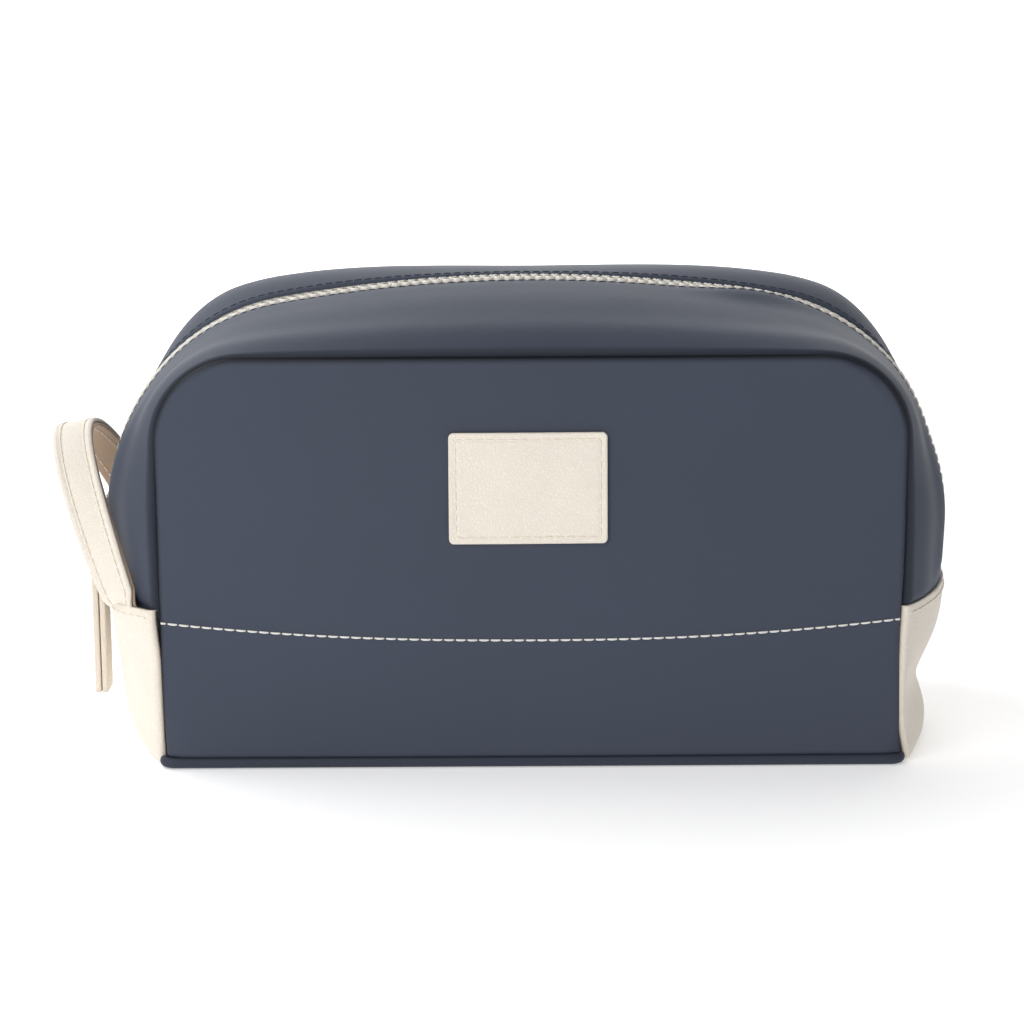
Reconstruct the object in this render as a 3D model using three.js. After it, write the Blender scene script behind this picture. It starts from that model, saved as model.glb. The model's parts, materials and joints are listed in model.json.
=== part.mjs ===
// Shaving kit bag: a boxy soft-touch wash bag with a piped base, pale leather end patches,
// a zip that runs over the top between two gusset halves, a loop handle and a folded zip pull.
// Millimetres. Origin: middle of the flat underside. +X along the length, -Y front, +Z up.
import * as THREE from 'three';

// Body of the bag
const SEAM_HALF = 119.3; // half the width of the front panel, seam to seam
const SEAM_TOP = 133.8; // height of the front panel's top seam
const SEAM_CORNER = 27; // radius of the panel's upper corners
const HALF_DEPTH = 57; // half the depth, seam to seam
const PANEL_BULGE = 8; // how far a big panel swells past its seam
const FOLD_Z = 54; // the walls bend at this height when the mouth opens
const FOLD_GAP = 0.6; // kept free between the pieces above and below the fold
const PANEL_START = 3.7; // where the big panels start, just over the welts
const PATCH_START = 1; // the end patches come down past the base

// Ends and crest, seen from the front: the line that the zip follows
const SHOULDER = { x: 71.5, z: 76.6, r: 68.4 };
const CREST_TOP = 151.5;
const END_TANGENT_DEG = 1; // below this the end leaves the shoulder circle and runs down to the base
const END_TAPER = 0.000007; // how quickly the end draws in towards the base
const END_TUCK = { z: 6, rate: 0.06 }; // and curls under, below this height
const REAR_SWELL = { ends: 0.6, crown: 4, shoulder: 3.6, rise: [0.12, 0.26], flat: 0.2 };
const FRONT_SWELL = { end: 2.4, from: 0.4, width: 0.08 };

// Base
const BASE = { tipX: 132.2, cornerX: 116.4, halfY: 53 }; // its ends bulge from the corners to the tips
const WELT = { x: 119, y: 56.2, z: 1.7, radius: 1.6, turn: 3.3 };
const PLAN_CORNER = { start: 112.3, radius: 9, fadeZ: 30 }; // the big panels turn in above the floor

// Layers, as depths below the outer surface
const SKIN = [0, 1.2];
const TAPE = [1.5, 2.1];
const LINING = [2.4, 3.0];
const BUTT_GAP = 0.3;
const LINING_INSET = 3.3; // lining pieces stop this far short of a seam
const LOWER_LINING_INSET = 5; // and this far where the panels turn in
const SKIN_THICK = SKIN[1] - SKIN[0];

// Zip, as distances from its middle line
const ZIP = { edge: 5.2, toothIn: 0.6, toothOut: 3.4, toothProud: 0.6, tapeIn: 0.9, tapeOut: 14 };
const ZIP_FOOT_TAPE = 4.9; // the foot's tape is trimmed clear of the gusset
const LINING_ZIP_EDGE = 12;
const SLIDER = { angleDeg: -2.5, half: 6, halfWidth: 6, web: 0.3 };
const SLIDER_PLATES = { outer: [1.3, 2.6], inner: [-4.3, -3.2] }; // outward from the zip's line
const CROWN = { foot: 2.9, half: 4, height: 5.6, bar: 1.1, halfWidth: 1.2 };
const PIVOT_OUT = 6.2; // the ring's bar, outward from the zip's line
const RING = { wire: 0.7, half: 7.8, drop: 8.5, corner: 1.8 };
const TAB = { width: 13, layer: 2, slit: 0.3, bore: 1.1, length: 53 };

// Label and pocket
const LABEL = { width: 50, height: 35, x: -1, z: 93.4, thick: 1.5 };
const POCKET = { half: 62, low: 58, high: 102, depth: [4.0, 4.6] };

// Handle: a strap in two layers, from a foot at each end patch over a high loop
const HANDLE = {
  foot: [-133.4, -45, 55],
  rise: [-139, -46, 72],
  crest: [-152.5, -27, 102.5],
  apex: [-152.5, 0, 102.5],
};
const STRAP = { width: 13, layer: 1.35, gap: 0.3, footTurnDeg: 60, apexTilt: 0.17 };

const NAVY = new THREE.MeshStandardMaterial({ color: 0x4e5664, roughness: 0.62, metalness: 0 });
const CREAM = new THREE.MeshStandardMaterial({ color: 0xede6da, roughness: 0.55, metalness: 0 });
const ZIP_RESIN = new THREE.MeshStandardMaterial({ color: 0xefece4, roughness: 0.4, metalness: 0 });
const ZIP_TAPE = new THREE.MeshStandardMaterial({ color: 0xd9d2c4, roughness: 0.9, metalness: 0 });
const LINING_CLOTH = new THREE.MeshStandardMaterial({ color: 0xb9b4aa, roughness: 0.85, metalness: 0 });
const METAL = new THREE.MeshStandardMaterial({ color: 0xc9c7c2, roughness: 0.3, metalness: 1 });
const BOARD = new THREE.MeshStandardMaterial({ color: 0x6b6258, roughness: 0.9, metalness: 0 });

const bag = new THREE.Group();
const radians = THREE.MathUtils.degToRad;
const lerp = THREE.MathUtils.lerp;

function add(name, geometry, material) {
  const mesh = new THREE.Mesh(geometry, material);
  mesh.name = name;
  bag.add(mesh);
}

// Turns the triangles round where the shape came out inside out.
function facingOut(geometry) {
  const position = geometry.attributes.position;
  const index = geometry.index;
  const corners = [new THREE.Vector3(), new THREE.Vector3(), new THREE.Vector3()];
  let volume = 0;
  for (let i = 0; i < index.count; i += 3) {
    corners.forEach((corner, k) => corner.fromBufferAttribute(position, index.getX(i + k)));
    volume += corners[0].dot(corners[1].cross(corners[2]));
  }
  if (volume < 0) {
    for (let i = 0; i < index.count; i += 3) {
      const second = index.getX(i + 1);
      index.setX(i + 1, index.getX(i + 2));
      index.setX(i + 2, second);
    }
  }
  return geometry;
}

// A box whose every vertex (u, v, w in 0..1) is carried to place(u, v, w).
function bentBlock(place, nu, nv) {
  const geometry = new THREE.BoxGeometry(1, 1, 1, nu, nv, 1);
  const position = geometry.attributes.position;
  for (let i = 0; i < position.count; i += 1) {
    const u = position.getX(i) + 0.5;
    const v = position.getY(i) + 0.5;
    const w = position.getZ(i) + 0.5;
    const point = place(u, v, w);
    position.setXYZ(i, point.x, point.y, point.z);
  }
  return facingOut(geometry);
}

// A layer between two depths under surface(u, v), measured along the surface's own normal.
function layer(surface, uSpan, vSpan, depths, nu, nv) {
  const inside = new THREE.Vector3(0, 0, SHOULDER.z);
  const step = 1e-3;
  return bentBlock((u, v, w) => {
    const a = lerp(uSpan[0], uSpan[1], u);
    const b = lerp(vSpan[0], vSpan[1], v);
    const point = surface(a, b);
    const alongU = surface(a + step, b).sub(surface(a - step, b));
    const alongV = surface(a, b + step).sub(surface(a, b - step));
    const normal = alongU.cross(alongV).normalize();
    if (normal.dot(point.clone().sub(inside)) < 0) normal.negate();
    return point.addScaledVector(normal, -lerp(depths[0], depths[1], w));
  }, nu, nv);
}

// ---- the bag's surface -------------------------------------------------------------------

const seamPath = new THREE.Path();
const cornerX = SEAM_HALF - SEAM_CORNER;
const cornerZ = SEAM_TOP - SEAM_CORNER;
seamPath.moveTo(-SEAM_HALF, FOLD_Z);
seamPath.lineTo(-SEAM_HALF, cornerZ);
seamPath.absarc(-cornerX, cornerZ, SEAM_CORNER, Math.PI, Math.PI / 2, true);
seamPath.lineTo(cornerX, SEAM_TOP);
seamPath.absarc(cornerX, cornerZ, SEAM_CORNER, Math.PI / 2, 0, true);
seamPath.lineTo(SEAM_HALF, FOLD_Z);

// The crown's arc is the one that touches both shoulder circles and passes the crest's top.
const crestRise = CREST_TOP - SHOULDER.z;
const crownRadius = (SHOULDER.x ** 2 + crestRise ** 2 - SHOULDER.r ** 2) / (2 * (crestRise - SHOULDER.r));
const crownLean = Math.atan(SHOULDER.x / (crownRadius - crestRise));
const endTangent = radians(END_TANGENT_DEG);
const END_TOP = {
  x: SHOULDER.x + SHOULDER.r * Math.cos(endTangent),
  z: SHOULDER.z - SHOULDER.r * Math.sin(endTangent),
  slope: Math.tan(endTangent),
};

// Half the bag's length at the middle of its depth, at a height below the shoulder circle.
function endReach(z) {
  const below = END_TOP.z - z;
  const tuck = END_TUCK.rate * Math.max(0, END_TUCK.z - z) ** 2;
  return END_TOP.x - END_TOP.slope * below - END_TAPER * below ** 3 - tuck;
}

const halfway = (END_TOP.z - FOLD_Z) / 2;
const endControl = { x: END_TOP.x - END_TOP.slope * halfway, z: END_TOP.z - halfway };
const crestPath = new THREE.Path();
crestPath.moveTo(-endReach(FOLD_Z), FOLD_Z);
crestPath.quadraticCurveTo(-endControl.x, endControl.z, -END_TOP.x, END_TOP.z);
crestPath.absarc(-SHOULDER.x, SHOULDER.z, SHOULDER.r, Math.PI + endTangent, Math.PI / 2 + crownLean, true);
crestPath.absarc(0, CREST_TOP - crownRadius, crownRadius, Math.PI / 2 + crownLean,
  Math.PI / 2 - crownLean, true);
crestPath.absarc(SHOULDER.x, SHOULDER.z, SHOULDER.r, Math.PI / 2 - crownLean, -endTangent, true);
crestPath.quadraticCurveTo(endControl.x, endControl.z, endReach(FOLD_Z), FOLD_Z);

// How far a gusset half stands proud of its parabola: the rear one all along, most of all over
// the shoulders, and the front one only beside the ends.
function swell(t, y) {
  const fromMiddle = Math.abs(t - 0.5);
  if (y < 0) {
    return FRONT_SWELL.end * Math.exp(-(((fromMiddle - FRONT_SWELL.from) / FRONT_SWELL.width) ** 2));
  }
  const top = THREE.MathUtils.smoothstep(0.5 - fromMiddle, ...REAR_SWELL.rise);
  const shoulder = THREE.MathUtils.smoothstep(fromMiddle, 0, REAR_SWELL.flat);
  return REAR_SWELL.ends + top * (REAR_SWELL.crown + REAR_SWELL.shoulder * shoulder);
}

// Gusset: t runs along the arch from the left fold to the right one, y across the depth.
// The section is a parabola from the seam up to the zip, with the swell on top of it.
function gussetSurface(t, y) {
  const along = THREE.MathUtils.clamp(t, 0, 1);
  const across = Math.abs(y) / HALF_DEPTH;
  const point = seamPath.getPoint(along).lerp(crestPath.getPoint(along), 1 - across * across);
  const tangent = crestPath.getTangent(along);
  const lift = swell(along, y) * Math.sin(Math.PI * across);
  return new THREE.Vector3(point.x - tangent.y * lift, y, point.y + tangent.x * lift);
}

// Half the depth of the bag at a point of a big panel, before it swells: sharp seams that
// become rounded plan corners near the floor.
function wallDepth(x, z) {
  const intoCorner = Math.max(0, Math.abs(x) - PLAN_CORNER.start);
  const cut = PLAN_CORNER.radius - Math.sqrt(PLAN_CORNER.radius ** 2 - intoCorner ** 2);
  const fade = Math.max(0, 1 - z / PLAN_CORNER.fadeZ);
  return HALF_DEPTH - cut * fade * fade;
}

// End wall below the fold, left (side -1) or right (side 1).
function endSurface(side) {
  return (z, y) => {
    const across = Math.abs(y) / wallDepth(SEAM_HALF, z);
    const x = lerp(SEAM_HALF, endReach(z), 1 - across * across);
    return new THREE.Vector3(side * x, y, z);
  };
}

// Half the width of a big panel at a height.
function panelHalf(z) {
  const over = Math.max(0, z - cornerZ);
  return cornerX + Math.sqrt(Math.max(0, SEAM_CORNER ** 2 - over * over));
}

function panelY(x, z) {
  const across = Math.min(1, Math.abs(x) / panelHalf(z));
  const up = THREE.MathUtils.clamp(z / SEAM_TOP, 0, 1);
  return wallDepth(x, z) + PANEL_BULGE * (1 - across * across) * Math.sin(Math.PI * up);
}

// A piece of a big panel between two heights. Above the corner's start its rows follow the arc,
// and its columns draw together towards the seams, where it turns.
function panelPiece(side, low, high, inset, depths, nu, nv) {
  const arcStart = Math.min(high, cornerZ);
  const arcShare = high > cornerZ ? 0.5 : 0;
  return bentBlock((u, v, w) => {
    let z = lerp(low, arcStart, Math.min(1, v / (1 - arcShare)));
    let half = SEAM_HALF;
    if (arcShare > 0 && v > 1 - arcShare) {
      const turn = (Math.PI / 2) * ((v - 1 + arcShare) / arcShare);
      z = cornerZ + SEAM_CORNER * Math.sin(turn);
      half = cornerX + SEAM_CORNER * Math.cos(turn);
    }
    const x = Math.sin(Math.PI * (u - 0.5)) * (half - inset);
    const zIn = z > cornerZ ? lerp(z, z - inset, (z - cornerZ) / SEAM_CORNER) : z;
    return new THREE.Vector3(x, side * (panelY(x, zIn) - lerp(depths[0], depths[1], w)), zIn);
  }, nu, nv);
}

// ---- base --------------------------------------------------------------------------------

function roundedRectangle(halfX, halfY, corner) {
  const outline = new THREE.Shape();
  outline.absarc(halfX - corner, halfY - corner, corner, 0, Math.PI / 2, false);
  outline.absarc(corner - halfX, halfY - corner, corner, Math.PI / 2, Math.PI, false);
  outline.absarc(corner - halfX, corner - halfY, corner, Math.PI, 1.5 * Math.PI, false);
  outline.absarc(halfX - corner, corner - halfY, corner, 1.5 * Math.PI, 2 * Math.PI, false);
  outline.closePath();
  return outline;
}

// A plate of the base, this far inside the base panel's edge.
function basePlate(inset, low, high) {
  const [tip, x, y] = [BASE.tipX - inset, BASE.cornerX - inset, BASE.halfY - inset];
  const outline = new THREE.Shape();
  outline.moveTo(-x, -y);
  outline.lineTo(x, -y);
  outline.quadraticCurveTo(2 * tip - x, 0, x, y);
  outline.lineTo(-x, y);
  outline.quadraticCurveTo(x - 2 * tip, 0, -x, -y);
  const geometry = new THREE.ExtrudeGeometry(outline, {
    depth: high - low, bevelEnabled: false, curveSegments: 14,
  });
  return geometry.translate(0, 0, low);
}

// A round bar bent along a closed outline that lies in a plane: place(a, b, out) carries
// outline coordinates a, b and a height over the plane into space.
function closedBar(outline, radius, place, around, sides) {
  const geometry = new THREE.TorusGeometry(1, 0.5, sides, around);
  const position = geometry.attributes.position;
  for (let i = 0; i < position.count; i += 1) {
    const turn = Math.atan2(position.getY(i), position.getX(i));
    const along = (turn / (2 * Math.PI) + 1) % 1;
    const outward = (Math.hypot(position.getX(i), position.getY(i)) - 1) * 2 * radius;
    const over = position.getZ(i) * 2 * radius;
    const centre = outline.getPoint(along);
    const tangent = outline.getTangent(along);
    const point = place(centre.x + tangent.y * outward, centre.y - tangent.x * outward, over);
    position.setXYZ(i, point.x, point.y, point.z);
  }
  return facingOut(geometry);
}

// The welt along one long edge: a round bar whose ends turn in at the corners.
function welt(side) {
  const path = new THREE.Path();
  const straight = WELT.x - WELT.turn;
  path.moveTo(-WELT.x, WELT.y - WELT.turn);
  path.quadraticCurveTo(-WELT.x, WELT.y, -straight, WELT.y);
  path.lineTo(straight, WELT.y);
  path.quadraticCurveTo(WELT.x, WELT.y, WELT.x, WELT.y - WELT.turn);
  return bentBlock((u, v, w) => {
    const centre = path.getPoint(u);
    const tangent = path.getTangent(u);
    const turn = radians(22.5 + 135 * v) * (w > 0.5 ? 1 : -1);
    const out = WELT.radius * Math.cos(turn);
    return new THREE.Vector3(centre.x - tangent.y * out,
      side * (centre.y + tangent.x * out), WELT.z + WELT.radius * Math.sin(turn));
  }, 48, 3);
}

add('base_panel', basePlate(0, 0, 1.6), NAVY);
add('base_board', basePlate(3.5, 1.9, 3.1), BOARD);
add('lining_base', basePlate(6.5, 3.4, 4.0), LINING_CLOTH);
add('base_welt_front', welt(-1), NAVY);
add('base_welt_rear', welt(1), NAVY);

// ---- walls -------------------------------------------------------------------------------

const UPPER = [FOLD_Z + FOLD_GAP / 2, SEAM_TOP];
const LOWER = [PANEL_START, FOLD_Z - FOLD_GAP / 2];
const LINING_LOW = 4.6;
for (const [name, side] of [['front', -1], ['rear', 1]]) {
  add(`${name}_panel_upper`, panelPiece(side, UPPER[0], UPPER[1], 0, SKIN, 12, 10), NAVY);
  add(`${name}_panel_lower`, panelPiece(side, LOWER[0], LOWER[1], 0, SKIN, 14, 4), NAVY);
  add(`lining_${name}_upper`,
    panelPiece(side, UPPER[0], UPPER[1], LINING_INSET, LINING, 8, 6), LINING_CLOTH);
  add(`lining_${name}_lower`,
    panelPiece(side, LINING_LOW, LOWER[1], LOWER_LINING_INSET, LINING, 12, 4), LINING_CLOTH);
}

// Patches and end linings reach from seam to seam, less what the big panels cover.
function endPiece(side, low, inset, depths, nu, nv) {
  const surface = endSurface(side);
  const spread = (z, b) => surface(z, b * (wallDepth(SEAM_HALF, z) - inset));
  return layer(spread, [low, LOWER[1]], [-1, 1], depths, nu, nv);
}

const EDGE_INSET = SKIN_THICK + BUTT_GAP;
for (const [name, side] of [['left', -1], ['right', 1]]) {
  add(`${name}_end_patch`, endPiece(side, PATCH_START, EDGE_INSET, SKIN, 7, 12), CREAM);
  add(`lining_${name}_end`, endPiece(side, LINING_LOW, LINING_INSET, LINING, 2, 8), LINING_CLOTH);
}

// ---- gusset halves and zip ---------------------------------------------------------------

const FOLD_T = 0.001; // keeps the gusset's lower edges clear of the patches
const ARCH = [FOLD_T, 1 - FOLD_T];
const CHAIN = [0.006, 0.994];
const FOOT_T = 0.068; // up to here the zip is held in the slider and stays with the base
const FOOT_GAP_T = 0.0015;
for (const [name, side] of [['front', -1], ['rear', 1]]) {
  const strip = (inner, outer, depths, nu, nv, span) => layer(
    gussetSurface, span, [side * inner, side * outer], depths, nu, nv,
  );
  add(`gusset_${name}`, strip(ZIP.edge, HALF_DEPTH - EDGE_INSET, SKIN, 56, 6, ARCH), NAVY);
  add(`lining_gusset_${name}`,
    strip(LINING_ZIP_EDGE, HALF_DEPTH - LINING_INSET, LINING, 40, 4, ARCH), LINING_CLOTH);
  const upperEnd = FOOT_T + FOOT_GAP_T;
  const teeth = [-ZIP.toothProud, SKIN[1]];
  add(`zip_tape_${name}`, strip(ZIP.tapeIn, ZIP.tapeOut, TAPE, 52, 2, [upperEnd, ARCH[1]]), ZIP_TAPE);
  add(`zip_teeth_${name}`,
    strip(ZIP.toothIn, ZIP.toothOut, teeth, 44, 1, [upperEnd, CHAIN[1]]), ZIP_RESIN);
  add(`zip_tape_${name}_foot`,
    strip(ZIP.tapeIn, ZIP_FOOT_TAPE, TAPE, 5, 1, [ARCH[0], FOOT_T]), ZIP_TAPE);
  add(`zip_teeth_${name}_foot`,
    strip(ZIP.toothIn, ZIP.toothOut, teeth, 5, 1, [CHAIN[0], FOOT_T]), ZIP_RESIN);
}

// ---- slider, ring and pull ---------------------------------------------------------------

// Local frame of the slider: a runs up the zip, b outward from it, y along the bag's depth.
const sliderTurn = radians(SLIDER.angleDeg);
const outwardAxis = new THREE.Vector3(-Math.cos(sliderTurn), 0, Math.sin(sliderTurn));
const upwardAxis = new THREE.Vector3(Math.sin(sliderTurn), 0, Math.cos(sliderTurn));
const sliderSeat = new THREE.Vector3(-SHOULDER.x, 0, SHOULDER.z).addScaledVector(outwardAxis, SHOULDER.r);
const depthAxis = new THREE.Vector3(0, 1, 0);

// Lays a shape drawn in two of the slider's directions, and extruded along the third.
function onSlider(shape, across, up, along, length) {
  const geometry = new THREE.ExtrudeGeometry(shape, {
    depth: length, bevelEnabled: false, curveSegments: 8,
  });
  geometry.translate(0, 0, -length / 2);
  const frame = new THREE.Matrix4().makeBasis(across, up, along).setPosition(sliderSeat);
  return geometry.applyMatrix4(frame);
}

// Section of the slider: two plates joined by a thin web between the rows of teeth.
const [plateLow, plateHigh] = SLIDER_PLATES.outer;
const [keelLow, keelHigh] = SLIDER_PLATES.inner;
const section = new THREE.Shape([
  [-SLIDER.halfWidth, keelLow], [SLIDER.halfWidth, keelLow], [SLIDER.halfWidth, keelHigh],
  [SLIDER.web, keelHigh], [SLIDER.web, plateLow], [SLIDER.halfWidth, plateLow],
  [SLIDER.halfWidth, plateHigh], [-SLIDER.halfWidth, plateHigh], [-SLIDER.halfWidth, plateLow],
  [-SLIDER.web, plateLow], [-SLIDER.web, keelHigh], [-SLIDER.halfWidth, keelHigh],
].map(([across, out]) => new THREE.Vector2(across, out)));
const upAlong = new THREE.Vector3().crossVectors(depthAxis, outwardAxis);
add('slider_body', onSlider(section, depthAxis, outwardAxis, upAlong, 2 * SLIDER.half), METAL);

// The crown is an arch over the outer plate, and the ring's bar lies in it.
const arch = new THREE.Shape();
arch.moveTo(-CROWN.half, CROWN.foot);
arch.quadraticCurveTo(-CROWN.half, CROWN.foot + CROWN.height, 0, CROWN.foot + CROWN.height);
arch.quadraticCurveTo(CROWN.half, CROWN.foot + CROWN.height, CROWN.half, CROWN.foot);
arch.lineTo(CROWN.half - CROWN.bar, CROWN.foot);
arch.quadraticCurveTo(CROWN.half - CROWN.bar, CROWN.foot + CROWN.height - CROWN.bar,
  0, CROWN.foot + CROWN.height - CROWN.bar);
arch.quadraticCurveTo(CROWN.bar - CROWN.half, CROWN.foot + CROWN.height - CROWN.bar,
  CROWN.bar - CROWN.half, CROWN.foot);
arch.closePath();
const archSide = new THREE.Vector3().crossVectors(upwardAxis, outwardAxis);
add('slider_crown', onSlider(arch, upwardAxis, outwardAxis, archSide, 2 * CROWN.halfWidth), METAL);

// Ring and tab hang straight down from the crown.
const pivot = sliderSeat.clone().addScaledVector(outwardAxis, PIVOT_OUT);
const ringOutline = roundedRectangle(RING.half, RING.drop / 2, RING.corner);
add('pull_ring', closedBar(ringOutline, RING.wire,
  (a, b, over) => new THREE.Vector3(pivot.x + over, a, pivot.z - RING.drop / 2 + b), 24, 6), METAL);

// The tab is one strip of leather folded over the ring's lower bar: a hairpin in section.
const fold = TAB.bore + TAB.layer;
const slit = TAB.slit / 2;
const skirt = slit + TAB.layer;
const hairpin = new THREE.Shape();
hairpin.moveTo(slit, -TAB.length);
hairpin.lineTo(skirt, -TAB.length);
hairpin.lineTo(skirt, -2 * fold);
hairpin.quadraticCurveTo(skirt, -fold, fold, 0);
hairpin.absarc(0, 0, fold, 0, Math.PI, false);
hairpin.quadraticCurveTo(-skirt, -fold, -skirt, -2 * fold);
hairpin.lineTo(-skirt, -TAB.length);
hairpin.lineTo(-slit, -TAB.length);
hairpin.lineTo(-slit, -2 * fold);
hairpin.quadraticCurveTo(-slit, -fold, -TAB.bore, 0);
hairpin.absarc(0, 0, TAB.bore, Math.PI, 0, true);
hairpin.quadraticCurveTo(slit, -fold, slit, -2 * fold);
hairpin.closePath();
const tab = new THREE.ExtrudeGeometry(hairpin, {
  depth: TAB.width, bevelEnabled: false, curveSegments: 6,
});
tab.rotateX(Math.PI / 2);
tab.translate(pivot.x, TAB.width / 2, pivot.z - RING.drop);
add('pull_tab', tab, CREAM);

// ---- label and pocket --------------------------------------------------------------------

add('label_patch', bentBlock((u, v, w) => {
  const x = LABEL.x + lerp(-1, 1, u) * (LABEL.width / 2);
  const z = LABEL.z + lerp(-1, 1, v) * (LABEL.height / 2);
  return new THREE.Vector3(x, -(panelY(x, z) + BUTT_GAP + w * LABEL.thick), z);
}, 6, 4), CREAM);

add('slip_pocket', bentBlock((u, v, w) => {
  const x = lerp(-1, 1, u) * POCKET.half;
  const z = lerp(POCKET.low, POCKET.high, v);
  return new THREE.Vector3(x, panelY(x, z) - lerp(POCKET.depth[0], POCKET.depth[1], w), z);
}, 6, 4), LINING_CLOTH);

// ---- handle ------------------------------------------------------------------------------

const [foot, rise, crest, apex] = [HANDLE.foot, HANDLE.rise, HANDLE.crest, HANDLE.apex]
  .map((point) => new THREE.Vector3(...point));
const leg = new THREE.CubicBezierCurve3(foot, rise, crest, apex);

// One layer of the strap. s runs from the front foot (-1) over the apex (0) to the rear foot (1).
// The strap lies flat on the bag at its feet and has turned a quarter by the apex.
function strapLayer(low, high) {
  return bentBlock((u, v, w) => {
    const s = lerp(-1, 1, u);
    const back = s > 0 ? -1 : 1;
    const climb = 1 - Math.abs(s);
    const centre = leg.getPointAt(climb);
    const tangent = leg.getTangentAt(climb).multiplyScalar(back);
    centre.y *= back;
    tangent.y *= back;
    const turn = radians(lerp(STRAP.footTurnDeg, 90, climb));
    const wide = new THREE.Vector3(-Math.sin(turn), back * Math.cos(turn), -STRAP.apexTilt * climb);
    wide.addScaledVector(tangent, -wide.dot(tangent)).normalize();
    const thick = new THREE.Vector3().crossVectors(tangent, wide).normalize();
    return centre.addScaledVector(wide, (v - 0.5) * STRAP.width)
      .addScaledVector(thick, lerp(low, high, w));
  }, 36, 3);
}

const halfGap = STRAP.gap / 2;
add('handle_strap_outer', strapLayer(halfGap, halfGap + STRAP.layer), CREAM);
add('handle_strap_inner', strapLayer(-halfGap - STRAP.layer, -halfGap), CREAM);

export default bag;
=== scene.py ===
"""Shaving kit bag: the looks of a piped, zip-top wash bag, built round its packed frame."""

import json
import math

import bpy
import numpy as np
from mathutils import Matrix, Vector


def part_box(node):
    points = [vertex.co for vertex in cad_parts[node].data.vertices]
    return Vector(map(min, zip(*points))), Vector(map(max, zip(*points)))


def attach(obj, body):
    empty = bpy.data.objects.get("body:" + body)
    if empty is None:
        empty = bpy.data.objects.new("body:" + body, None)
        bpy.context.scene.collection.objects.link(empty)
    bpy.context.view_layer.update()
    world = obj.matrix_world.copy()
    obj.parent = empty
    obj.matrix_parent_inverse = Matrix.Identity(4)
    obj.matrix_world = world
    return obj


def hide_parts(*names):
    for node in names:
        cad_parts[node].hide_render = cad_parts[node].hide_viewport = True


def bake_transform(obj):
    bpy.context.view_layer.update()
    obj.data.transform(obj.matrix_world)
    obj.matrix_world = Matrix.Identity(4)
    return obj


bl_info = {
    "name": "Shaving Kit Bag",
    "version": (1, 0, 0),
    "blender": (4, 5, 0),
    "location": "View3D > Sidebar > Bag",
    "description": "Builds a soft-touch shaving kit bag with leather trim, zip, stitches and lining",
    "category": "Add Mesh",
}

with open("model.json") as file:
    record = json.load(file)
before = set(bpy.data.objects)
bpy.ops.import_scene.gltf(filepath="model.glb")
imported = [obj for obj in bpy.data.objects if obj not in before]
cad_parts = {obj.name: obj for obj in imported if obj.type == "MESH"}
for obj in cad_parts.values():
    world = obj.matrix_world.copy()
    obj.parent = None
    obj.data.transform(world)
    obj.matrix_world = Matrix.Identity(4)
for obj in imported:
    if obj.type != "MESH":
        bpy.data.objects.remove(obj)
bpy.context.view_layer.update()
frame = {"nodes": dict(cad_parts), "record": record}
MM = 0.001  # every shape is worked out in millimetres and stored in metres
HALVES = (("front", -1), ("rear", 1))  # names along the depth and their side of the middle
ENDS = (("left", -1), ("right", 1))  # and along the length


def box_mm(node):
    """Lowest and highest corner of a frame node, in millimetres."""
    return np.array(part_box(node)) / MM


def joint_place(name):
    """Where a joint turns, in millimetres."""
    joint = next(j for j in frame["record"]["behaviour"]["joints"] if j["name"] == name)
    return np.array(joint["pos_m"]) / MM


PANEL_LOW, PANEL_HIGH = box_mm("front_panel_lower"), box_mm("front_panel_upper")
SHOULDER = joint_place("slider_travel")
FOLD_Z = joint_place("mouth_front")[2]
RING_PIVOT = joint_place("pull_swing")


# ---- sizes and colours -------------------------------------------------------------------


def length(name, default, description):
    """A size in millimetres that a user may change."""
    return bpy.props.FloatProperty(name=name, default=default, description=description, min=0.0)


def colour(name, default, description):
    """A linear colour that a user may change."""
    return bpy.props.FloatVectorProperty(
        name=name, default=default, description=description, subtype="COLOR", size=3, min=0, max=1,
    )


class BagSizes(bpy.types.PropertyGroup):
    """Sizes of the bag's walls and zip, in millimetres."""

    seam_half: length("Seam half width", float(PANEL_HIGH[1][0]), "Half the front panel's width")
    seam_top: length("Seam height", float(PANEL_HIGH[1][2]), "Height of the panel's top seam")
    seam_corner: length("Seam corner", 27.0, "Radius of the panel's upper corners")
    half_depth: length("Half depth", 57.0, "Half the depth, seam to seam")
    panel_bulge: length("Panel bulge", 8.0, "How far a big panel swells past its seam")
    shoulder_radius: length("Shoulder radius", 68.4, "Radius of the zip's line at the shoulders")
    crest_top: length("Crest height", 151.5, "Height of the zip over the middle")
    end_taper: length("End taper", 0.007, "How quickly an end draws in towards the base, per cubed cm")
    swell_ends: length("Rear swell at the ends", 0.6, "Rear gusset's height over the zip, ends")
    swell_crown: length("Rear swell at the crown", 4.0, "Rear gusset's extra height, middle")
    swell_shoulder: length("Rear swell at the shoulders", 3.6, "And over the shoulders")
    swell_front: length("Front swell", 2.4, "Front gusset's height beside the ends")
    hide: length("Leatherette thickness", 1.2, "Thickness of the bag's skin")
    turn: length("Seam roll", 2.3, "Radius of the rolled edge at a turned seam")
    zip_edge: length("Zip edge", 4.6, "From the zip's middle to a gusset's folded edge")
    tooth_pitch: length("Tooth pitch", 3.4, "Distance between the teeth of one row")


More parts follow.
